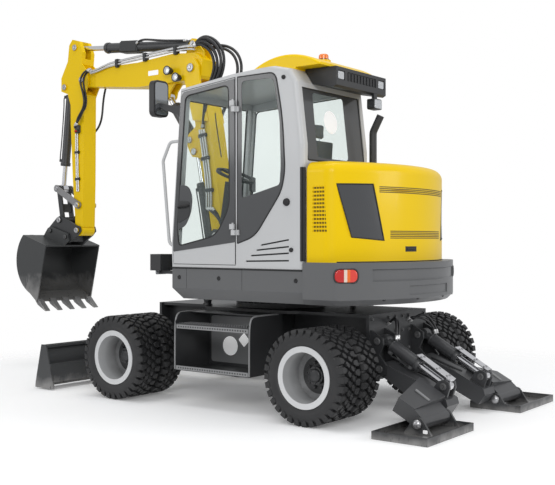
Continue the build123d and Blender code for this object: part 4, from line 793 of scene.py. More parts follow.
# ---------------------------------------------------------------- tail lamps
# One-piece moulded lenses, red at the outside, amber and clear toward the middle, each seated in
# a black oval bezel in the counterweight's corner.
s = Shader("tail_lamp_lens")
along_lens = (s.along(0) + 1.3025) * -0.657 + (s.math("ABSOLUTE", s.along(1)) - 0.887) * -0.754
ribs = s.math("ABSOLUTE", s.math("SINE", along_lens * 420.0))
lens = s.mix(along_lens > 0.028, s.mix(along_lens > -0.022, (0.55, 0.008, 0.006), (0.85, 0.16, 0.01)),
             (0.75, 0.05, 0.03))
lens = s.mix((along_lens > -0.022) * (along_lens < 0.004), lens, (0.80, 0.66, 0.55))
coat(s.surface(s.add("BsdfPrincipled", Base_Color=lens, Roughness=0.12, Coat_Weight=0.7, Coat_Roughness=0.05,
                     Normal=s.bump(ribs, 0.35, 0.0015))), "tail_lamps")
for hand, side in sides:
    look, spot = math.radians(180 - hand * 41), math.radians(180 - hand * 34.3)
    out = Vector((math.cos(look), math.sin(look), 0))
    sideways = Vector((math.sin(look), -math.cos(look), 0))
    middle = Vector((1.556 * math.cos(spot), 1.556 * math.sin(spot), 1.172)) + out * 0.026
    ring = panel(0.0985, -0.0985, 0.0555, -0.0555, 0.1)
    bezel = [middle + sideways * u + Vector((0, 0, v)) for u, v in ring]
    bent(f"tail_lamp_bezel_{side}", bezel, 0.0062, plastic, upper, closed=True, order=1)

# ---------------------------------------------------------------- beacon and lamps
# An amber beacon on a black collar; work lamps with clear ribbed lenses set in black housings.
s = Shader("amber_lens")
collar = s.along(2) < 3.004
coat(s.surface(s.add("BsdfPrincipled", Base_Color=s.mix(collar, (0.80, 0.19, 0.012), (0.02, 0.02, 0.02)),
                     Roughness=0.2, Coat_Weight=0.6, Emission_Color=(0.9, 0.25, 0.02), Emission_Strength=0.05,
                     Normal=s.bump(s.noise(60.0), 0.15, 0.001))), "beacon")
s = Shader("clear_lamp_lens")
facets = s.add("TexVoronoi", Vector=s.place(), Scale=90.0)
ribbed = s.mix(facets, (0.72, 0.74, 0.76), (0.42, 0.44, 0.46))
lamp_lens = s.surface(s.add("BsdfPrincipled", Base_Color=ribbed, Metallic=0.35, Roughness=0.12,
                            Coat_Weight=0.8, Normal=s.bump(facets, 0.4, 0.002)))
for n, (x, z) in enumerate(((1.400, 3.190), (1.284, 3.108))):
    dome = turned([(0.0, 0.006), (0.018, 0.0052), (0.034, 0.0028), (0.041, 0.0), (0.0, -0.001)], 36)
    add_piece(f"boom_lamp_lens_{n}", baked(dome, at((x, 0.0842, z), -90)), lamp_lens, "upper_boom_body")
    rim = [(x, 0.0845, z) for x, z in disc_line(x, z, 0.0445, 28)]
    bent(f"boom_lamp_rim_{n}", rim, 0.0036, plastic, "upper_boom_body", closed=True, order=1)
bar_face = -1.0935
lenses = (
    # name, x, y from and to, z from and to, corner, thickness
    ("bar_lamp_lens_a", bar_face, -0.028, 0.058, 2.770, 2.830, 0.012, 0.005),
    ("bar_lamp_lens_b", bar_face, 0.602, 0.688, 2.770, 2.830, 0.012, 0.005),
    ("hanging_lamp_lens", -1.1225, 0.052, 0.160, 2.586, 2.658, 0.012, 0.005),
    ("front_lamp_lens", 0.782, 0.728, 0.872, 1.140, 1.240, 0.014, 0.006),
)
for name, x, y0, y1, z0, z1, corner, thickness in lenses:
    sheet = panel(y0, y1, z0, z1, corner)
    pressed(name, (sheet,), 0, thickness, lamp_lens, upper, turn=at((x, 0, 0), 90, "Z"))
ribs = [boxed((0.004, 0.020, 0.064), at((bar_face, 0.135 + n * 0.049, 2.800), math.degrees(0.5), "Z"))
        for n in range(9)]
add_piece("bar_slot_ribs", merged(ribs), plastic, upper)

# ---------------------------------------------------------------- mirror
# A silvered convex pane behind a thin black rim, on the left front corner arm.
mirror_glass = toned("mirror_silvering", 3.0, (0.34, 0.36, 0.38), (0.46, 0.48, 0.5), 0.12, Metallic=0.9)
pane = panel(0.800, 0.970, 2.588, 2.892, 0.045)
pressed("mirror_pane", (pane,), 0, 0.004, mirror_glass, upper, turn=at((0.6985, 0, 0), 90, "Z"))
bent("mirror_rim", [(0.699, y, z) for y, z in pane], 0.0055, seal, upper, closed=True, order=1)

# ---------------------------------------------------------------- pin heads
# Ground steel pins end in chamfered heads, each with a dimple and one bolt.
pin_steel = toned("ground_pin_steel", 8.0, (0.33, 0.33, 0.34), (0.50, 0.50, 0.51), 0.26, grain=(40.0, 0.12),
                  Metallic=0.85)
greased = powder_coated("greased_pin_end", (0.09, 0.09, 0.092), 0.4)
pins = (
    # name, body, x, z, left face, right face, radius, material
    ("arm", "arm_body", 2.799, 3.249, 0.001, -0.211, 0.036, pin_steel),
    ("stick_eye", "arm_body", 2.914, 3.623, -0.003, -0.207, 0.035, pin_steel),
    ("bucket_base", "arm_body", 3.085, 3.192, 0.001, -0.211, 0.034, pin_steel),
    ("lever", "arm_body", 2.848, 1.847, 0.029, -0.239, 0.033, pin_steel),
    ("bucket", "arm_body", 2.852, 1.563, 0.029, -0.239, 0.033, pin_steel),
    ("elbow", "lower_boom_body", 1.116, 3.194, 0.043, -0.253, 0.044, pin_steel),
    ("lift_eye", "lower_boom_body", 1.132, 2.353, -0.029, -0.181, 0.036, pin_steel),
    ("adjust_base", "lower_boom_body", 1.190, 2.475, -0.029, -0.181, 0.034, pin_steel),
    ("stick_base", "upper_boom_body", 1.150, 3.450, -0.029, -0.181, 0.034, pin_steel),
    ("adjust_eye", "upper_boom_body", 1.535, 2.960, -0.029, -0.181, 0.036, pin_steel),
    ("boom_foot", "swing_post_body", 0.783, 1.494, 0.048, -0.258, 0.036, pin_steel),
    ("knuckle", "lever_body", 3.215, 2.045, 0.007, -0.217, 0.028, pin_steel),
    ("link", "bucket_body", 3.150, 1.682, 0.027, -0.237, 0.034, pin_steel),
    ("coupler_a", "bucket_body", 3.010, 1.490, 0.055, -0.265, 0.024, greased),
    ("coupler_b", "bucket_body", 3.270, 1.560, 0.055, -0.265, 0.024, greased),
    ("blade_root_left", "undercarriage", 1.330, 0.360, 0.339, 0.201, 0.031, greased),
    ("blade_root_right", "undercarriage", 1.330, 0.360, -0.201, -0.339, 0.031, greased),
    ("blade_cylinder", "undercarriage", 1.300, 0.690, 0.070, -0.070, 0.031, greased),
    ("blade_eye", "blade_body", 1.920, 0.392, 0.074, -0.074, 0.031, greased),
    ("leg_root_left", "undercarriage", -1.355, 0.402, 0.474, 0.206, 0.031, greased),
    ("leg_root_right", "undercarriage", -1.355, 0.402, -0.206, -0.474, 0.031, greased),
    ("leg_cylinder_left", "undercarriage", -1.332, 0.629, 0.474, 0.206, 0.031, greased),
    ("leg_cylinder_right", "undercarriage", -1.332, 0.629, -0.206, -0.474, 0.031, greased),
    ("leg_eye_left", "leg_left", -1.895, 0.302, 0.412, 0.268, 0.030, greased),
    ("leg_eye_right", "leg_right", -1.895, 0.302, -0.268, -0.412, 0.030, greased),
)


def pin_head(radius):
    """A chamfered round head with a dimple and a hexagon bolt, standing on z."""
    head = [(0.0, 0.0045), (radius * 0.16, 0.0045), (radius * 0.2, 0.0065), (radius * 0.80, 0.0068),
            (radius * 0.94, 0.0045), (radius, -0.001), (0.0, -0.001)]
    bolt = bolt_head(radius * 0.26, radius * 0.18)
    bolt.transform(at((0, 0, 0.005)))
    return merged([baked(turned(head, 40)), bolt])


for name, body, x, z, left, right, radius, material in pins:
    ends = [pin_head(radius), pin_head(radius)]
    for head, y, tip in zip(ends, (left, right), (-90, 90)):
        head.transform(at((x, y, z), tip))
    add_piece(f"{name}_pin_heads", merged(ends), material, body)
cap_shape = [(0.0, 0.022), (0.016, 0.020), (0.030, 0.013), (0.036, 0.003), (0.037, -0.001), (0.0, -0.001)]
for hand, side in sides:
    ends = [baked(turned(cap_shape, 36), at((-1.945, hand * y, 0.092), hand * tip))
            for y, tip in ((0.926, -90), (0.450, 90))]
    add_piece(f"pad_pin_caps_{side}", merged(ends), pin_steel, f"pad_{side}")

# ---------------------------------------------------------------- hydraulic cylinders
# Honed tube, black powder coated: a weld bead near the base, a gland where the chrome rod comes
# out, two port blocks, and a small feed pipe along the tube.
boom_plane = -0.105
cylinders = (
    # name, base pin, eye pin, y, tube radius, barrel end, feed pipe's turn round the tube, body
    ("lift", (0.915, 1.200), (1.132, 2.353), boom_plane, 0.059, 0.270, 60, "lift_barrel_body"),
    ("adjust", (1.190, 2.475), (1.535, 2.960), boom_plane, 0.059, 0.084, 120, "adjust_barrel_body"),
    ("stick", (1.150, 3.450), (2.914, 3.623), boom_plane, 0.052, 0.375, 55, "stick_barrel_body"),
    ("bucket", (3.085, 3.192), (3.215, 2.045), boom_plane, 0.049, 0.206, -55, "bucket_barrel_body"),
    ("blade", (1.300, 0.690), (1.920, 0.392), 0.0, 0.051, 0.170, 70, "blade_barrel_body"),
    ("leg_left", (-1.332, 0.629), (-1.895, 0.302), 0.340, 0.052, 0.214, -65, "leg_barrel_left_body"),
    ("leg_right", (-1.332, 0.629), (-1.895, 0.302), -0.340, 0.052, 0.214, -115, "leg_barrel_right_body"),
)
eye_reach, gland_gap = 0.046, 0.010


def standing(spot, way):
    """A place whose own z runs along a given way."""
    return at(spot) @ Vector((0, 0, 1)).rotation_difference(way).to_matrix().to_4x4()


for name, base, eye, y, tube, back, around, body in cylinders:
    run = Vector((eye[0] - base[0], 0, eye[1] - base[1]))
    stand = standing((base[0], y, base[1]), run)
    end = run.length - back - eye_reach - gland_gap
    gland = [(tube - 0.004, end - 0.040), (tube + 0.0075, end - 0.040), (tube + 0.008, end - 0.037),
             (tube + 0.008, end - 0.009), (tube + 0.004, end - 0.001), (tube - 0.010, end + 0.0005),
             (tube * 0.62, end + 0.0005), (tube * 0.62, end - 0.002)]
    bead = [(tube - 0.002, 0.080), (tube + 0.003, 0.082), (tube + 0.0045, 0.087), (tube + 0.003, 0.092),
            (tube - 0.002, 0.094)]
    rings = [baked(turned(shape, 44, True), stand) for shape in (gland, bead)]
    turn = math.radians(around)
    aside = Vector((math.sin(turn), math.cos(turn), 0))
    swing = math.degrees(math.atan2(aside.y, aside.x))
    for low in (0.105, end - 0.060):
        port = at(aside * (tube + 0.008) + Vector((0, 0, low)), swing, "Z")
        rings.append(boxed((0.030, 0.034, 0.034), stand @ port, 0.004))
    add_piece(f"{name}_cylinder_fittings", merged(rings), frame_grey, body)
    feed = [(tube + 0.012, 0.112), (tube + 0.030, 0.118), (tube + 0.019, 0.150),
            (tube + 0.016, run.length * 0.35), (tube + 0.016, end - 0.12), (tube + 0.022, end - 0.08),
            (tube + 0.012, end - 0.062)]
    pipe = [stand @ (aside * r + Vector((0, 0, z))) for r, z in feed]
    bent(f"{name}_cylinder_feed_pipe", pipe, 0.0065, anthracite, body, sides=3)

# ---------------------------------------------------------------- boom tubes
# Three zinc-plated steel tubes clamped along the boom's upper left edge, and three more down
# the lower boom's side; each clamp is one rounded block of black moulded plastic.
zinc = toned("zinc_plated_tube", 12.0, (0.52, 0.52, 0.52), (0.66, 0.66, 0.66), 0.27, grain=(30.0, 0.1),
             Metallic=0.75)


def clamp_set(name, spots, size, body):
    """Rounded clamp blocks; each spot is a middle and a lean about y in radians."""
    blocks = [boxed(size, at(spot, math.degrees(lean), "Y"), 0.005) for spot, lean in spots]
    return add_piece(name, merged(blocks), plastic, body)


for n, (y, rise) in enumerate(((0.012, 0.000), (-0.016, 0.014), (0.018, -0.030))):
    path = [(1.075, y, 3.405 + rise), (1.15, y, 3.425 + rise), (1.45, y, 3.418 + rise),
            (1.87, y, 3.396 + rise), (2.25, y, 3.378 + rise), (2.40, y + 0.002, 3.366 + rise),
            (2.52, y + 0.006, 3.325 + rise * 0.8), (2.61, y + 0.008, 3.318 + rise * 0.7)]
    bent(f"boom_tube_{n}", path, 0.0105, zinc, "upper_boom_body")
spots = (((1.34, 0.003, 3.400), 0.02), ((1.78, 0.003, 3.380), 0.05), ((2.20, 0.003, 3.362), 0.05))
clamp_set("boom_tube_clamps", spots, (0.045, 0.060, 0.090), "upper_boom_body")
for n, x in enumerate((0.0, 0.030, 0.060)):
    path = [(0.855 + x, 0.016, 1.760), (0.850 + x, 0.017, 1.90), (0.868 + x, 0.017, 2.10),
            (0.930 + x, 0.017, 2.45), (0.952 + x, 0.017, 2.56)]
    bent(f"lower_boom_tube_{n}", path, 0.0105, zinc, "lower_boom_body")
spots = (((0.884, 0.013, 1.95), 0.05), ((0.935, 0.013, 2.27), 0.17), ((0.972, 0.013, 2.50), 0.17))
clamp_set("lower_boom_tube_clamps", spots, (0.100, 0.036, 0.040), "lower_boom_body")

# ---------------------------------------------------------------- boom and arm hoses
# Braided rubber hoses with crimped steel ends, looped past each hinge with enough slack for its
# whole swing. A hose that crosses a hinge rides on no link; only its far ferrule follows the next.


def hose(name, path, radius, body, next_body=None):
    """A hose through given points, with a crimped ferrule pushed on at each end."""
    piece = bent(name, path, radius, hose_rubber, None if next_body else body, sides=3)
    if next_body:
        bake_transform(piece)
    ferrule = [(radius * 0.7, -0.004), (radius * 1.25, -0.004), (radius * 1.32, 0.006),
               (radius * 1.32, 0.030), (radius * 1.15, 0.036), (radius * 0.9, 0.036)]
    tips = (("a", path[0], path[1], body), ("b", path[-1], path[-2], next_body or body))
    for tag, here, there, owner in tips:
        place = standing(here, Vector(there) - Vector(here))
        add_piece(f"{name}_ferrule_{tag}", baked(turned(ferrule, 20, True), place), zinc, owner)


elbow_hoses = (
    # side, how far each loop stands outside the smallest one
    (0.066, -0.022), (0.040, 0.000), (0.070, 0.022), (0.038, 0.044), (0.066, 0.066), (0.040, 0.085),
    (-0.272, 0.00), (-0.290, 0.035),
)
for n, (y, grow) in enumerate(elbow_hoses):
    near = 0.020 if y > 0 else -0.232
    path = [(0.965, near, 2.575), (0.950, near, 2.70), (0.900, y, 2.86), (0.800 - grow, y, 3.02),
            (0.735 - grow, y, 3.17 + grow * 0.3), (0.780 - grow, y, 3.32 + grow * 0.5),
            (0.900 - grow * 0.4, y, 3.41 + grow), (1.010, near + 0.004, 3.435 + grow * 0.6),
            (1.080, near, 3.412)]
    hose(f"elbow_hose_{n}", path, 0.015, "lower_boom_body", "upper_boom_body")
for n, (y, grow) in enumerate(((0.020, 0.0), (0.046, 0.028), (0.030, 0.060))):
    path = [(2.605, y, 3.318 + grow * 0.3), (2.680, y + 0.010, 3.322 + grow * 0.4),
            (2.722 + grow, y + 0.024, 3.24), (2.690 + grow * 0.3, y + 0.026, 3.12),
            (2.655 + grow * 0.2, y + 0.020, 3.00 - grow * 0.4), (2.700 + grow * 0.2, y + 0.010, 2.90),
            (2.790, y + 0.002, 2.860 - grow), (2.845, 0.022, 2.80 - grow * 0.5),
            (2.850 + grow * 0.5, 0.016, 2.742)]
    hose(f"arm_hose_{n}", path, 0.0115, "upper_boom_body", "arm_body")
far = [(2.560, -0.228, 3.290), (2.640, -0.245, 3.240), (2.715, -0.262, 3.100), (2.735, -0.265, 2.940),
       (2.745, -0.258, 2.800), (2.800, -0.240, 2.700), (2.850, -0.214, 2.660)]
hose("arm_far_hose", far, 0.0115, "upper_boom_body", "arm_body")
for n, (y, z) in enumerate(((-0.065, 1.36), (-0.025, 1.33), (0.008, 1.38))):
    path = [(0.735, y - 0.03, z), (0.710, y, 1.50), (0.722, y + 0.004, 1.62),
            (0.770, max(y, -0.02) + 0.022, 1.70), (0.840 + n * 0.03, 0.020, 1.770)]
    hose(f"boom_foot_hose_{n}", path, 0.0125, "swing_post_body", "lower_boom_body")

# ---------------------------------------------------------------- arm valve and tubes
# A small steel valve block with a red cap on the arm's flank, two zinc-plated tubes running down
# from it in moulded clamps, and a bare plate on the boom.
valve = [boxed(size, at(middle), 0.004) for middle, size in (
    ((2.858, -0.004, 2.700), (0.070, 0.030, 0.085)), ((2.846, 0.010, 2.672), (0.030, 0.034, 0.046)),
    ((2.884, 0.010, 2.722), (0.024, 0.030, 0.030)))]
add_piece("arm_valve_block", merged(valve), frame_grey, "arm_body")
red_cap = sprayed("red_valve_cap", (0.55, 0.02, 0.015))
cap = turned([(0.0, 0.026), (0.008, 0.0255), (0.011, 0.022), (0.012, 0.0), (0.0, 0.0)], 20)
add_piece("arm_valve_cap", baked(cap, at((2.846, 0.026, 2.672), -90)), red_cap, "arm_body")
for n, x in enumerate((2.858, 2.884)):
    path = [(x, 0.000, 2.650), (x + 0.008, -0.004, 2.50), (x - 0.008, -0.004, 2.10),
            (x - 0.016, -0.002, 2.00)]
    bent(f"arm_tube_{n}", path, 0.009, zinc, "arm_body")
spots = (((2.872, -0.006, 2.44), 0.05), ((2.864, -0.006, 2.14), 0.05))
clamp_set("arm_tube_clamps", spots, (0.074, 0.026, 0.034), "arm_body")
label = panel(1.600, 1.745, 3.180, 3.230, 0.006)
pressed("boom_blank_label", (label,), 0.0006, 0.0012, self_lit_blank_white, "upper_boom_body", bevel=0.0003)

# ---------------------------------------------------------------- step boxes
# Folded sheet boxes between the wheels: a lighter back panel with two bare signs, perforated
# grip strips riveted on the treads, and a bent rail round the edge of each end wall.
panel_grey = powder_coated("step_panel_grey", (0.21, 0.212, 0.215), 0.45)
galvanised = powder_coated("grip_strip", (0.26, 0.262, 0.265), 0.4)
sign_face = 0.552
for hand, side in sides:
    back = panel(-0.385, 0.385, 0.345, 0.765, 0.03)
    pressed(f"step_back_panel_{side}", (back,), hand * 0.5495, 0.003, panel_grey, "undercarriage")
    diamond = rounded([(-0.064, 0.560), (0.000, 0.496), (0.064, 0.560), (0.000, 0.624)], 0.012)
    for name, sign in (("disc", disc_line(0.160, 0.498, 0.086)), ("diamond", diamond)):
        pressed(f"step_blank_{name}_{side}", (sign,), hand * sign_face, 0.0016, self_lit_blank_white, "undercarriage",
                bevel=0.0004)
    for tag, y, low, high in (("low", 1.0012, 0.316, 0.349), ("high", 0.9972, 0.677, 0.711)):
        strip = [(-0.404, low), (0.404, low), (0.404, high), (-0.404, high)]
        holes = [disc_line(-0.378 + 0.028 * n, (low + high) / 2, 0.0085, 12) for n in range(28)]
        pressed(f"step_grip_{tag}_{side}", (strip, *holes), hand * y, 0.0022, galvanised, "undercarriage",
                bevel=0.0005)
    for n, x in enumerate((-0.4205, 0.4205)):
        line = ((0.60, 0.816), (0.80, 0.816), (0.930, 0.816), (0.972, 0.800), (0.999, 0.745), (1.001, 0.60),
                (1.001, 0.318))
        edge = [(x, hand * y, z) for y, z in line]
        bent(f"step_rail_{side}_{n}", edge, 0.0075, galvanised, "undercarriage", sides=3)
    stud = baked(turned([(0.0, 0.004), (0.004, 0.0036), (0.0065, 0.0), (0.0, -0.001)], 10))
    studs = []
    for row in range(5):
        for n in range(30):
            studs.append(stud.copy())
            studs[-1].transform(at((-0.392 + 0.027 * n, hand * (0.83 + 0.035 * row), 0.720)))
    add_piece(f"step_tread_studs_{side}", merged(studs), galvanised, "undercarriage")

# ---------------------------------------------------------------- chassis fittings
# Hexagon bolts through both mount plates, black filler caps on the deck, and the pressure hoses
# that come through the plates to each stabilizer cylinder and to the blade's.
rows = (0.36, 0.52, 0.68, 0.80)
bolts = [(-1.265, y, z, -90) for y in (-0.44, -0.17, -0.06, 0.06, 0.17, 0.44) for z in rows
         if abs(y) < 0.4 or z > 0.75]
bolts += [(1.240, y, z, 90) for y in (-0.31, 0.31) for z in rows]
heads = []
for x, y, z, tip in bolts:
    heads.append(bolt_head(0.013, 0.011))
    heads[-1].transform(at((x, y, z), tip, "Y"))
add_piece("mount_plate_bolts", merged(heads), greased, "undercarriage")
filler = [(0.0, 0.066), (0.022, 0.066), (0.030, 0.062), (0.031, 0.040), (0.027, 0.038), (0.027, 0.010),
          (0.036, 0.008), (0.036, -0.001), (0.0, -0.001)]
deck = 0.840
caps = [baked(turned(filler, 28), at((x, y, deck))) for x, y in
        ((0.520, 0.440), (0.600, 0.345), (0.690, 0.270), (-0.520, -0.440))]
add_piece("deck_filler_caps", merged(caps), plastic, "undercarriage")
for hand, side in sides:
    for n, (y, z, lift) in enumerate(((0.150, 0.765, 0.0), (0.190, 0.745, 0.03))):
        path = [(-1.262, hand * y, z), (-1.300, hand * y, z + 0.02),
                (-1.350, hand * (y + 0.03), 0.785 + lift), (-1.400, hand * (y + 0.09), 0.768 + lift),
                (-1.436, hand * (0.300 + n * 0.03), 0.705 + lift * 0.5),
                (-1.446, hand * (0.322 + n * 0.034), 0.640)]
        hose(f"leg_hose_{side}_{n}", path, 0.0105, "undercarriage", f"leg_barrel_{side}_body")
for n, y in enumerate((-0.045, 0.045)):
    path = [(1.238, y * 3, 0.800), (1.275, y * 3, 0.812), (1.330, y * 2.4, 0.815), (1.380, y * 1.6, 0.775),
            (1.408, y * 0.9, 0.720 - n * 0.006), (1.420, y * 0.5, 0.688)]
    hose(f"blade_hose_{n}", path, 0.0105, "undercarriage", "blade_barrel_body")

# ---------------------------------------------------------------- edge bolts and skirt plugs
# Ten domed plough bolts hold the blade's cutting edge, and soft rubber plugs close the lifting
# holes in the platform's skirt and in the counterweight.
dome = [(0.0, 0.008), (0.010, 0.0075), (0.017, 0.004), (0.019, -0.001), (0.0, -0.001)]
edge_bolts = [baked(turned(dome, 18), at((2.124, -1.035 + 0.23 * n, 0.055), 83, "Y")) for n in range(10)]
add_piece("blade_edge_bolts", merged(edge_bolts), pin_steel, "blade_body")
plug = [(0.0, 0.003), (0.009, 0.003), (0.010, 0.006), (0.0165, 0.006), (0.019, 0.001), (0.019, -0.001),
        (0.0, -0.001)]
plugs = [baked(turned(plug, 24), at((x, y, 1.125), tip)) for x in (0.415, -0.044, -0.860)
         for y, tip in ((0.950, -90), (-0.950, 90))]
add_piece("skirt_plugs", merged(plugs), seal, upper)
weight_radius = 1.5835
plugs = []
for turn in (-22, -8, 8, 22):
    a = math.radians(180 - turn)
    face = (weight_radius * math.cos(a), weight_radius * math.sin(a), 0.985)
    plugs.append(baked(turned(plug, 24), at(face, 180 - turn, "Z") @ at((0, 0, 0), 90, "Y")))
add_piece("counterweight_plugs", merged(plugs), seal, upper)

# ---------------------------------------------------------------- stabilizer legs
# Weld beads along the leg's seams, a steel pipe clipped along the beam, a bright rail on the
# wing, a bare plate on the pad, and bolts in each rod guard.
leg_root, leg_tip = Vector((-1.355, 0, 0.402)), Vector((-1.945, 0, 0.092))
down_leg = (leg_tip - leg_root).normalized()
above_leg = Vector((down_leg.z, 0, -down_leg.x))
guard_base, guard_eye = Vector((-1.332, 0, 0.629)), Vector((-1.895, 0, 0.302))
up_guard = (guard_base - guard_eye).normalized()
above_guard = Vector((-up_guard.z, 0, up_guard.x))


def on_leg(reach, rise, y):
    """A point a reach down the leg's beam and a rise above its line."""
    spot = leg_root + down_leg * reach + above_leg * rise
    return (spot.x, y, spot.z)


for hand, side in sides:
    seam = ((0.03, 0.052), (0.12, 0.060), (0.30, 0.088), (0.325, 0.089))
    for tag, y in (("inner", 0.2395), ("outer", 0.4405)):
        bead = [on_leg(r, h, hand * y) for r, h in seam]
        bent(f"leg_weld_{tag}_{side}", bead, 0.005, frame_grey, f"leg_{side}", order=1, sides=2)
    run = ((0.06, 0.066), (0.16, 0.080), (0.30, 0.104), (0.36, 0.118))
    pipe = [on_leg(r, h, hand * 0.262) for r, h in run]
    bent(f"leg_pipe_{side}", pipe, 0.009, anthracite, f"leg_{side}", sides=3)
    bar = [on_leg(r, h, hand * 0.66) for r, h in ((0.435, 0.112), (0.505, 0.108), (0.570, 0.104))]
    bent(f"leg_wing_bar_{side}", bar, 0.011, galvanised, f"leg_{side}", order=1, sides=3)
    plate = panel(-2.030, -1.992, 0.030, 0.056, 0.004)
    pressed(f"pad_blank_plate_{side}", (plate,), hand * 0.9168, 0.0016, self_lit_blank_white, f"pad_{side}",
            bevel=0.0004)
    heads = []
    for reach in (0.03, 0.13, 0.29):
        for y in (0.315, 0.365):
            spot = guard_eye + up_guard * reach + above_guard * 0.0757
            heads.append(bolt_head(0.008, 0.006))
            heads[-1].transform(standing((spot.x, hand * y, spot.z), above_guard))
    add_piece(f"leg_guard_bolts_{side}", merged(heads), pin_steel, f"leg_rod_{side}_body")

# ---------------------------------------------------------------- bucket and linkage
# Cast tooth caps rubbed to bright steel, wear strips welded up the bucket's back, and a lever
# of forged steel polished by use.
forged = powder_coated("forged_lever", (0.30, 0.30, 0.31), 0.34, worn=(1.7, 2.2))
coat(forged, "bucket_lever")
tooth_steel = powder_coated("tooth_steel", (0.16, 0.16, 0.162), 0.36, worn=(0.66, 0.80))
tooth = rounded([(3.196, 0.790), (3.066, 0.664), (3.196, 0.731), (3.222, 0.762)], 0.004)
for n in range(5):
    middle = boom_plane - 0.355 + n * 0.1775
    pressed(f"bucket_tooth_cap_{n}", (tooth,), middle, 0.072, tooth_steel, "bucket_body", bevel=0.004)
back_line = [Vector((x, 0, z)) for x, z in (
    (3.440, 1.512), (3.509, 1.427), (3.549, 1.310), (3.560, 1.190), (3.531, 1.063), (3.462, 0.960),
    (3.325, 0.855))]
back_middle = Vector((3.23, 0, 1.19))
for n, y in enumerate((boom_plane - 0.28, boom_plane, boom_plane + 0.28)):
    rings = []
    for spot in back_line:
        out = (spot - back_middle).normalized()
        high = spot + out * (0.002 if spot in (back_line[0], back_line[-1]) else 0.012)
        low = spot - out * 0.004
        rings.append([(p.x, y + aside, p.z) for p, aside in
                      ((low, -0.032), (high, -0.027), (high, 0.027), (low, 0.032))])
    add_piece(f"bucket_wear_strip_{n}", baked(lofted(rings)), tooth_steel, "bucket_body")

# ---------------------------------------------------------------- stick cylinder's valve
# A dark moulded valve housing on top of the stick cylinder, with a hose back along the barrel.
lean = math.degrees(-math.atan2(3.623 - 3.450, 2.914 - 1.150))
housing = boxed((0.28, 0.124, 0.128), at((2.100, boom_plane, 3.543), lean, "Y"), 0.014, 3)
add_piece("stick_valve_block", housing, plastic, "stick_barrel_body")
path = [(1.97, -0.050, 3.560), (1.90, -0.035, 3.590), (1.78, -0.035, 3.575), (1.55, -0.038, 3.530),
        (1.30, -0.046, 3.505), (1.255, -0.060, 3.500)]
hose("stick_valve_hose", path, 0.0115, "stick_barrel_body")

# ---------------------------------------------------------------- operator's seat
# Foam cushions sewn in grey woven cloth, blown up by a short cloth simulation, on a moulded
# back shell and a rubber bellows over the suspension.
s = Shader("woven_seat_cloth")
warp, weft = (s.add("TexWave", {"bands_direction": way}, output=1, Vector=s.place(), Scale=190.0,
                    Distortion=0.3) for way in ("X", "Z"))
tone = s.mix(s.noise(6.0), (0.085, 0.086, 0.09), (0.15, 0.15, 0.155))
woven = s.mix(warp * weft * 0.6, tone, (0.05, 0.05, 0.052))
cloth = s.surface(s.add("BsdfPrincipled", Base_Color=woven, Roughness=0.9,
                        Normal=s.bump(warp + weft, 0.35, 0.0008)))
seat_middle = 0.445
voxel = 0.006
foam_pressure = 4.0
swelling_frames = 20


def cushion(name, outline, half_width, cap):
    """A sewn pad swelled from a slightly smaller block; cap is how far any point may move."""
    bm = bmesh.new()
    near, far = ([bm.verts.new((x, y, z)) for x, z in outline]
                 for y in (seat_middle - half_width, seat_middle + half_width))
    bm.faces.new(near)
    bm.faces.new(far[::-1])
    for k in range(len(outline)):
        j = (k + 1) % len(outline)
        bm.faces.new((near[k], far[k], far[j], near[j]))
    bmesh.ops.recalc_face_normals(bm, faces=bm.faces)
    bmesh.ops.bevel(bm, geom=bm.edges[:], offset=0.012, segments=2, affect="EDGES")
    pad = bpy.data.objects.new(name, baked(bm))
    scene.collection.objects.link(pad)
    mesher = pad.modifiers.new("mesher", "REMESH")
    mesher.mode = "VOXEL"
    mesher.voxel_size = voxel
    even = shape_now(pad)
    pad.modifiers.clear()
    pad.data = even
    air = pad.modifiers.new("air", "CLOTH")
    air.settings.use_pressure = True
    air.settings.uniform_pressure_force = foam_pressure
    air.settings.effector_weights.gravity = 0.0
    air.settings.quality = 5
    for frame_number in range(1, swelling_frames + 1):
        scene.frame_set(frame_number)
    swelled = shape_now(pad)
    pad.modifiers.clear()
    for vertex, before in zip(swelled.vertices, even.vertices):
        moved = vertex.co - before.co
        if moved.length > cap:
            vertex.co = before.co + moved.normalized() * cap
    pad.data = swelled
    scene.frame_set(1)
    smooth = pad.modifiers.new("smooth", "SUBSURF")
    smooth.levels = smooth.render_levels = 1
    piece = add_piece(name, meshed(pad), cloth, upper)
    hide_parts("operator_seat")


cushion("seat_cushion", [(-0.145, 1.595), (-0.150, 1.655), (-0.535, 1.638), (-0.545, 1.578), (-0.215, 1.565)],
        0.215, 0.024)
cushion("seat_back_cushion", [(-0.590, 1.705), (-0.578, 1.730), (-0.658, 2.270), (-0.700, 2.270),
                              (-0.655, 1.705)], 0.200, 0.022)
cushion("seat_headrest", [(-0.672, 2.325), (-0.682, 2.450), (-0.725, 2.450), (-0.720, 2.325)], 0.110, 0.018)
shell = rounded([(-0.665, 1.655), (-0.690, 1.655), (-0.738, 2.295), (-0.712, 2.295)], 0.006)
rigid = [pressed("seat_back_shell", (shell,), seat_middle, 0.42, plastic, upper, bevel=0.008)]
levels = []
for k in range(13):
    half = 0.176 if k % 2 else 0.158
    ring = panel(-0.370 - half, -0.370 + half, seat_middle - half, seat_middle + half, 0.04)
    levels.append([(x, y, 1.262 + k * 0.0225) for x, y in ring])
rigid.append(add_piece("seat_bellows", baked(lofted(levels)), seal, upper))
for n, y in enumerate((seat_middle - 0.06, seat_middle + 0.06)):
    post = [(-0.700, y, 2.245), (-0.703, y, 2.345)]
    rigid.append(bent(f"headrest_post_{n}", post, 0.006, chrome, upper, order=1))
belt = [(-0.545, seat_middle + 0.205, 1.585), (-0.560, seat_middle + 0.222, 1.66),
        (-0.610, seat_middle + 0.225, 1.76)]
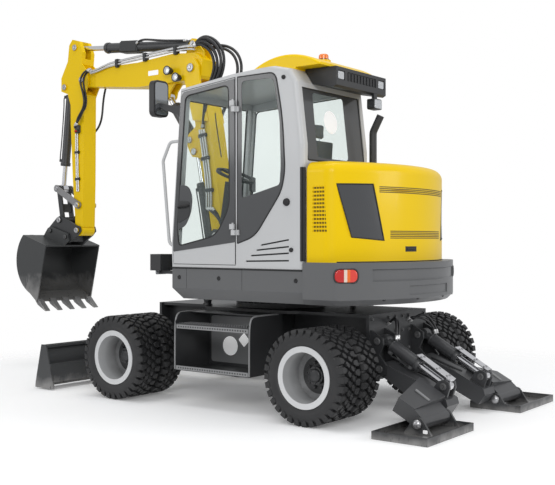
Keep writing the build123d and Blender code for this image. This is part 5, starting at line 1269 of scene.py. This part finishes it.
rigid.append(bent("seat_belt_stalk", belt, 0.012, seal, upper))
for piece in rigid:
    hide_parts("operator_seat")

# ---------------------------------------------------------------- cab controls and floor
# Rubber boots and grips on the joysticks, armrest pads, a ribbed floor mat, pedals, a display
# with a blank dark screen on the right front pillar, and the windscreen's wiper arm.
console = 0.310
boot = [(0.034, 0.0), (0.036, 0.006), (0.030, 0.010), (0.031, 0.016), (0.025, 0.020), (0.026, 0.026),
        (0.018, 0.032), (0.0, 0.032), (0.0, 0.0)]
grip = [(0.0, 0.0), (0.023, 0.002), (0.025, 0.02), (0.0235, 0.05), (0.027, 0.075), (0.024, 0.092),
        (0.012, 0.1), (0.0, 0.1)]
parts = [baked(turned(shape, 24), at((-0.150, seat_middle + hand * console, z)))
         for hand in (-1, 1) for shape, z in ((boot, 1.650), (grip, 1.728))]
add_piece("joystick_boots_and_grips", merged(parts), seal, upper)
for hand, side in sides:
    pad = panel(-0.520, -0.230, 1.651, 1.672, 0.01)
    pressed(f"armrest_pad_{side}", (pad,), seat_middle + hand * console, 0.092, cloth, upper, bevel=0.006)
mat = [boxed((0.56, 0.010, 0.005), at((0.115, 0.080 + 0.045 * n, 1.2535))) for n in range(17)]
add_piece("floor_mat_ribs", merged(mat), seal, upper)
for n, y in enumerate((seat_middle - 0.16, seat_middle - 0.08, seat_middle + 0.10)):
    tread = rounded([(0.325, 1.30), (0.400, 1.41), (0.394, 1.415), (0.318, 1.305)], 0.003)
    pressed(f"pedal_{n}", (tread,), y, 0.062, plastic, upper)
    bent(f"pedal_arm_{n}", [(0.362, y, 1.36), (0.405, y, 1.33), (0.418, y, 1.252)], 0.007, anthracite, upper)
screen_glass = toned("blank_screen", 2.0, (0.008, 0.01, 0.012), (0.015, 0.018, 0.02), 0.12, Coat_Weight=0.5)
lean = at((0.285, 0.055, 1.985), -62, "Z")
case = panel(-0.095, 0.095, -0.065, 0.065, 0.012)
pressed("display_case", (case,), 0.012, 0.028, plastic, upper, bevel=0.005, turn=lean)
pane = panel(-0.082, 0.082, -0.053, 0.053, 0.006)
pressed("display_screen", (pane,), 0.0268, 0.002, screen_glass, upper, bevel=0.0005, turn=lean)
stalk = [(0.300, 0.050, 1.94), (0.330, 0.030, 1.86), (0.370, 0.010, 1.74)]
bent("display_stalk", stalk, 0.010, plastic, upper)
wiper = [(0.446, 0.430, 2.640), (0.460, 0.400, 2.540), (0.482, 0.330, 2.360), (0.497, 0.280, 2.240)]
bent("windscreen_wiper_arm", wiper, 0.0055, plastic, upper)
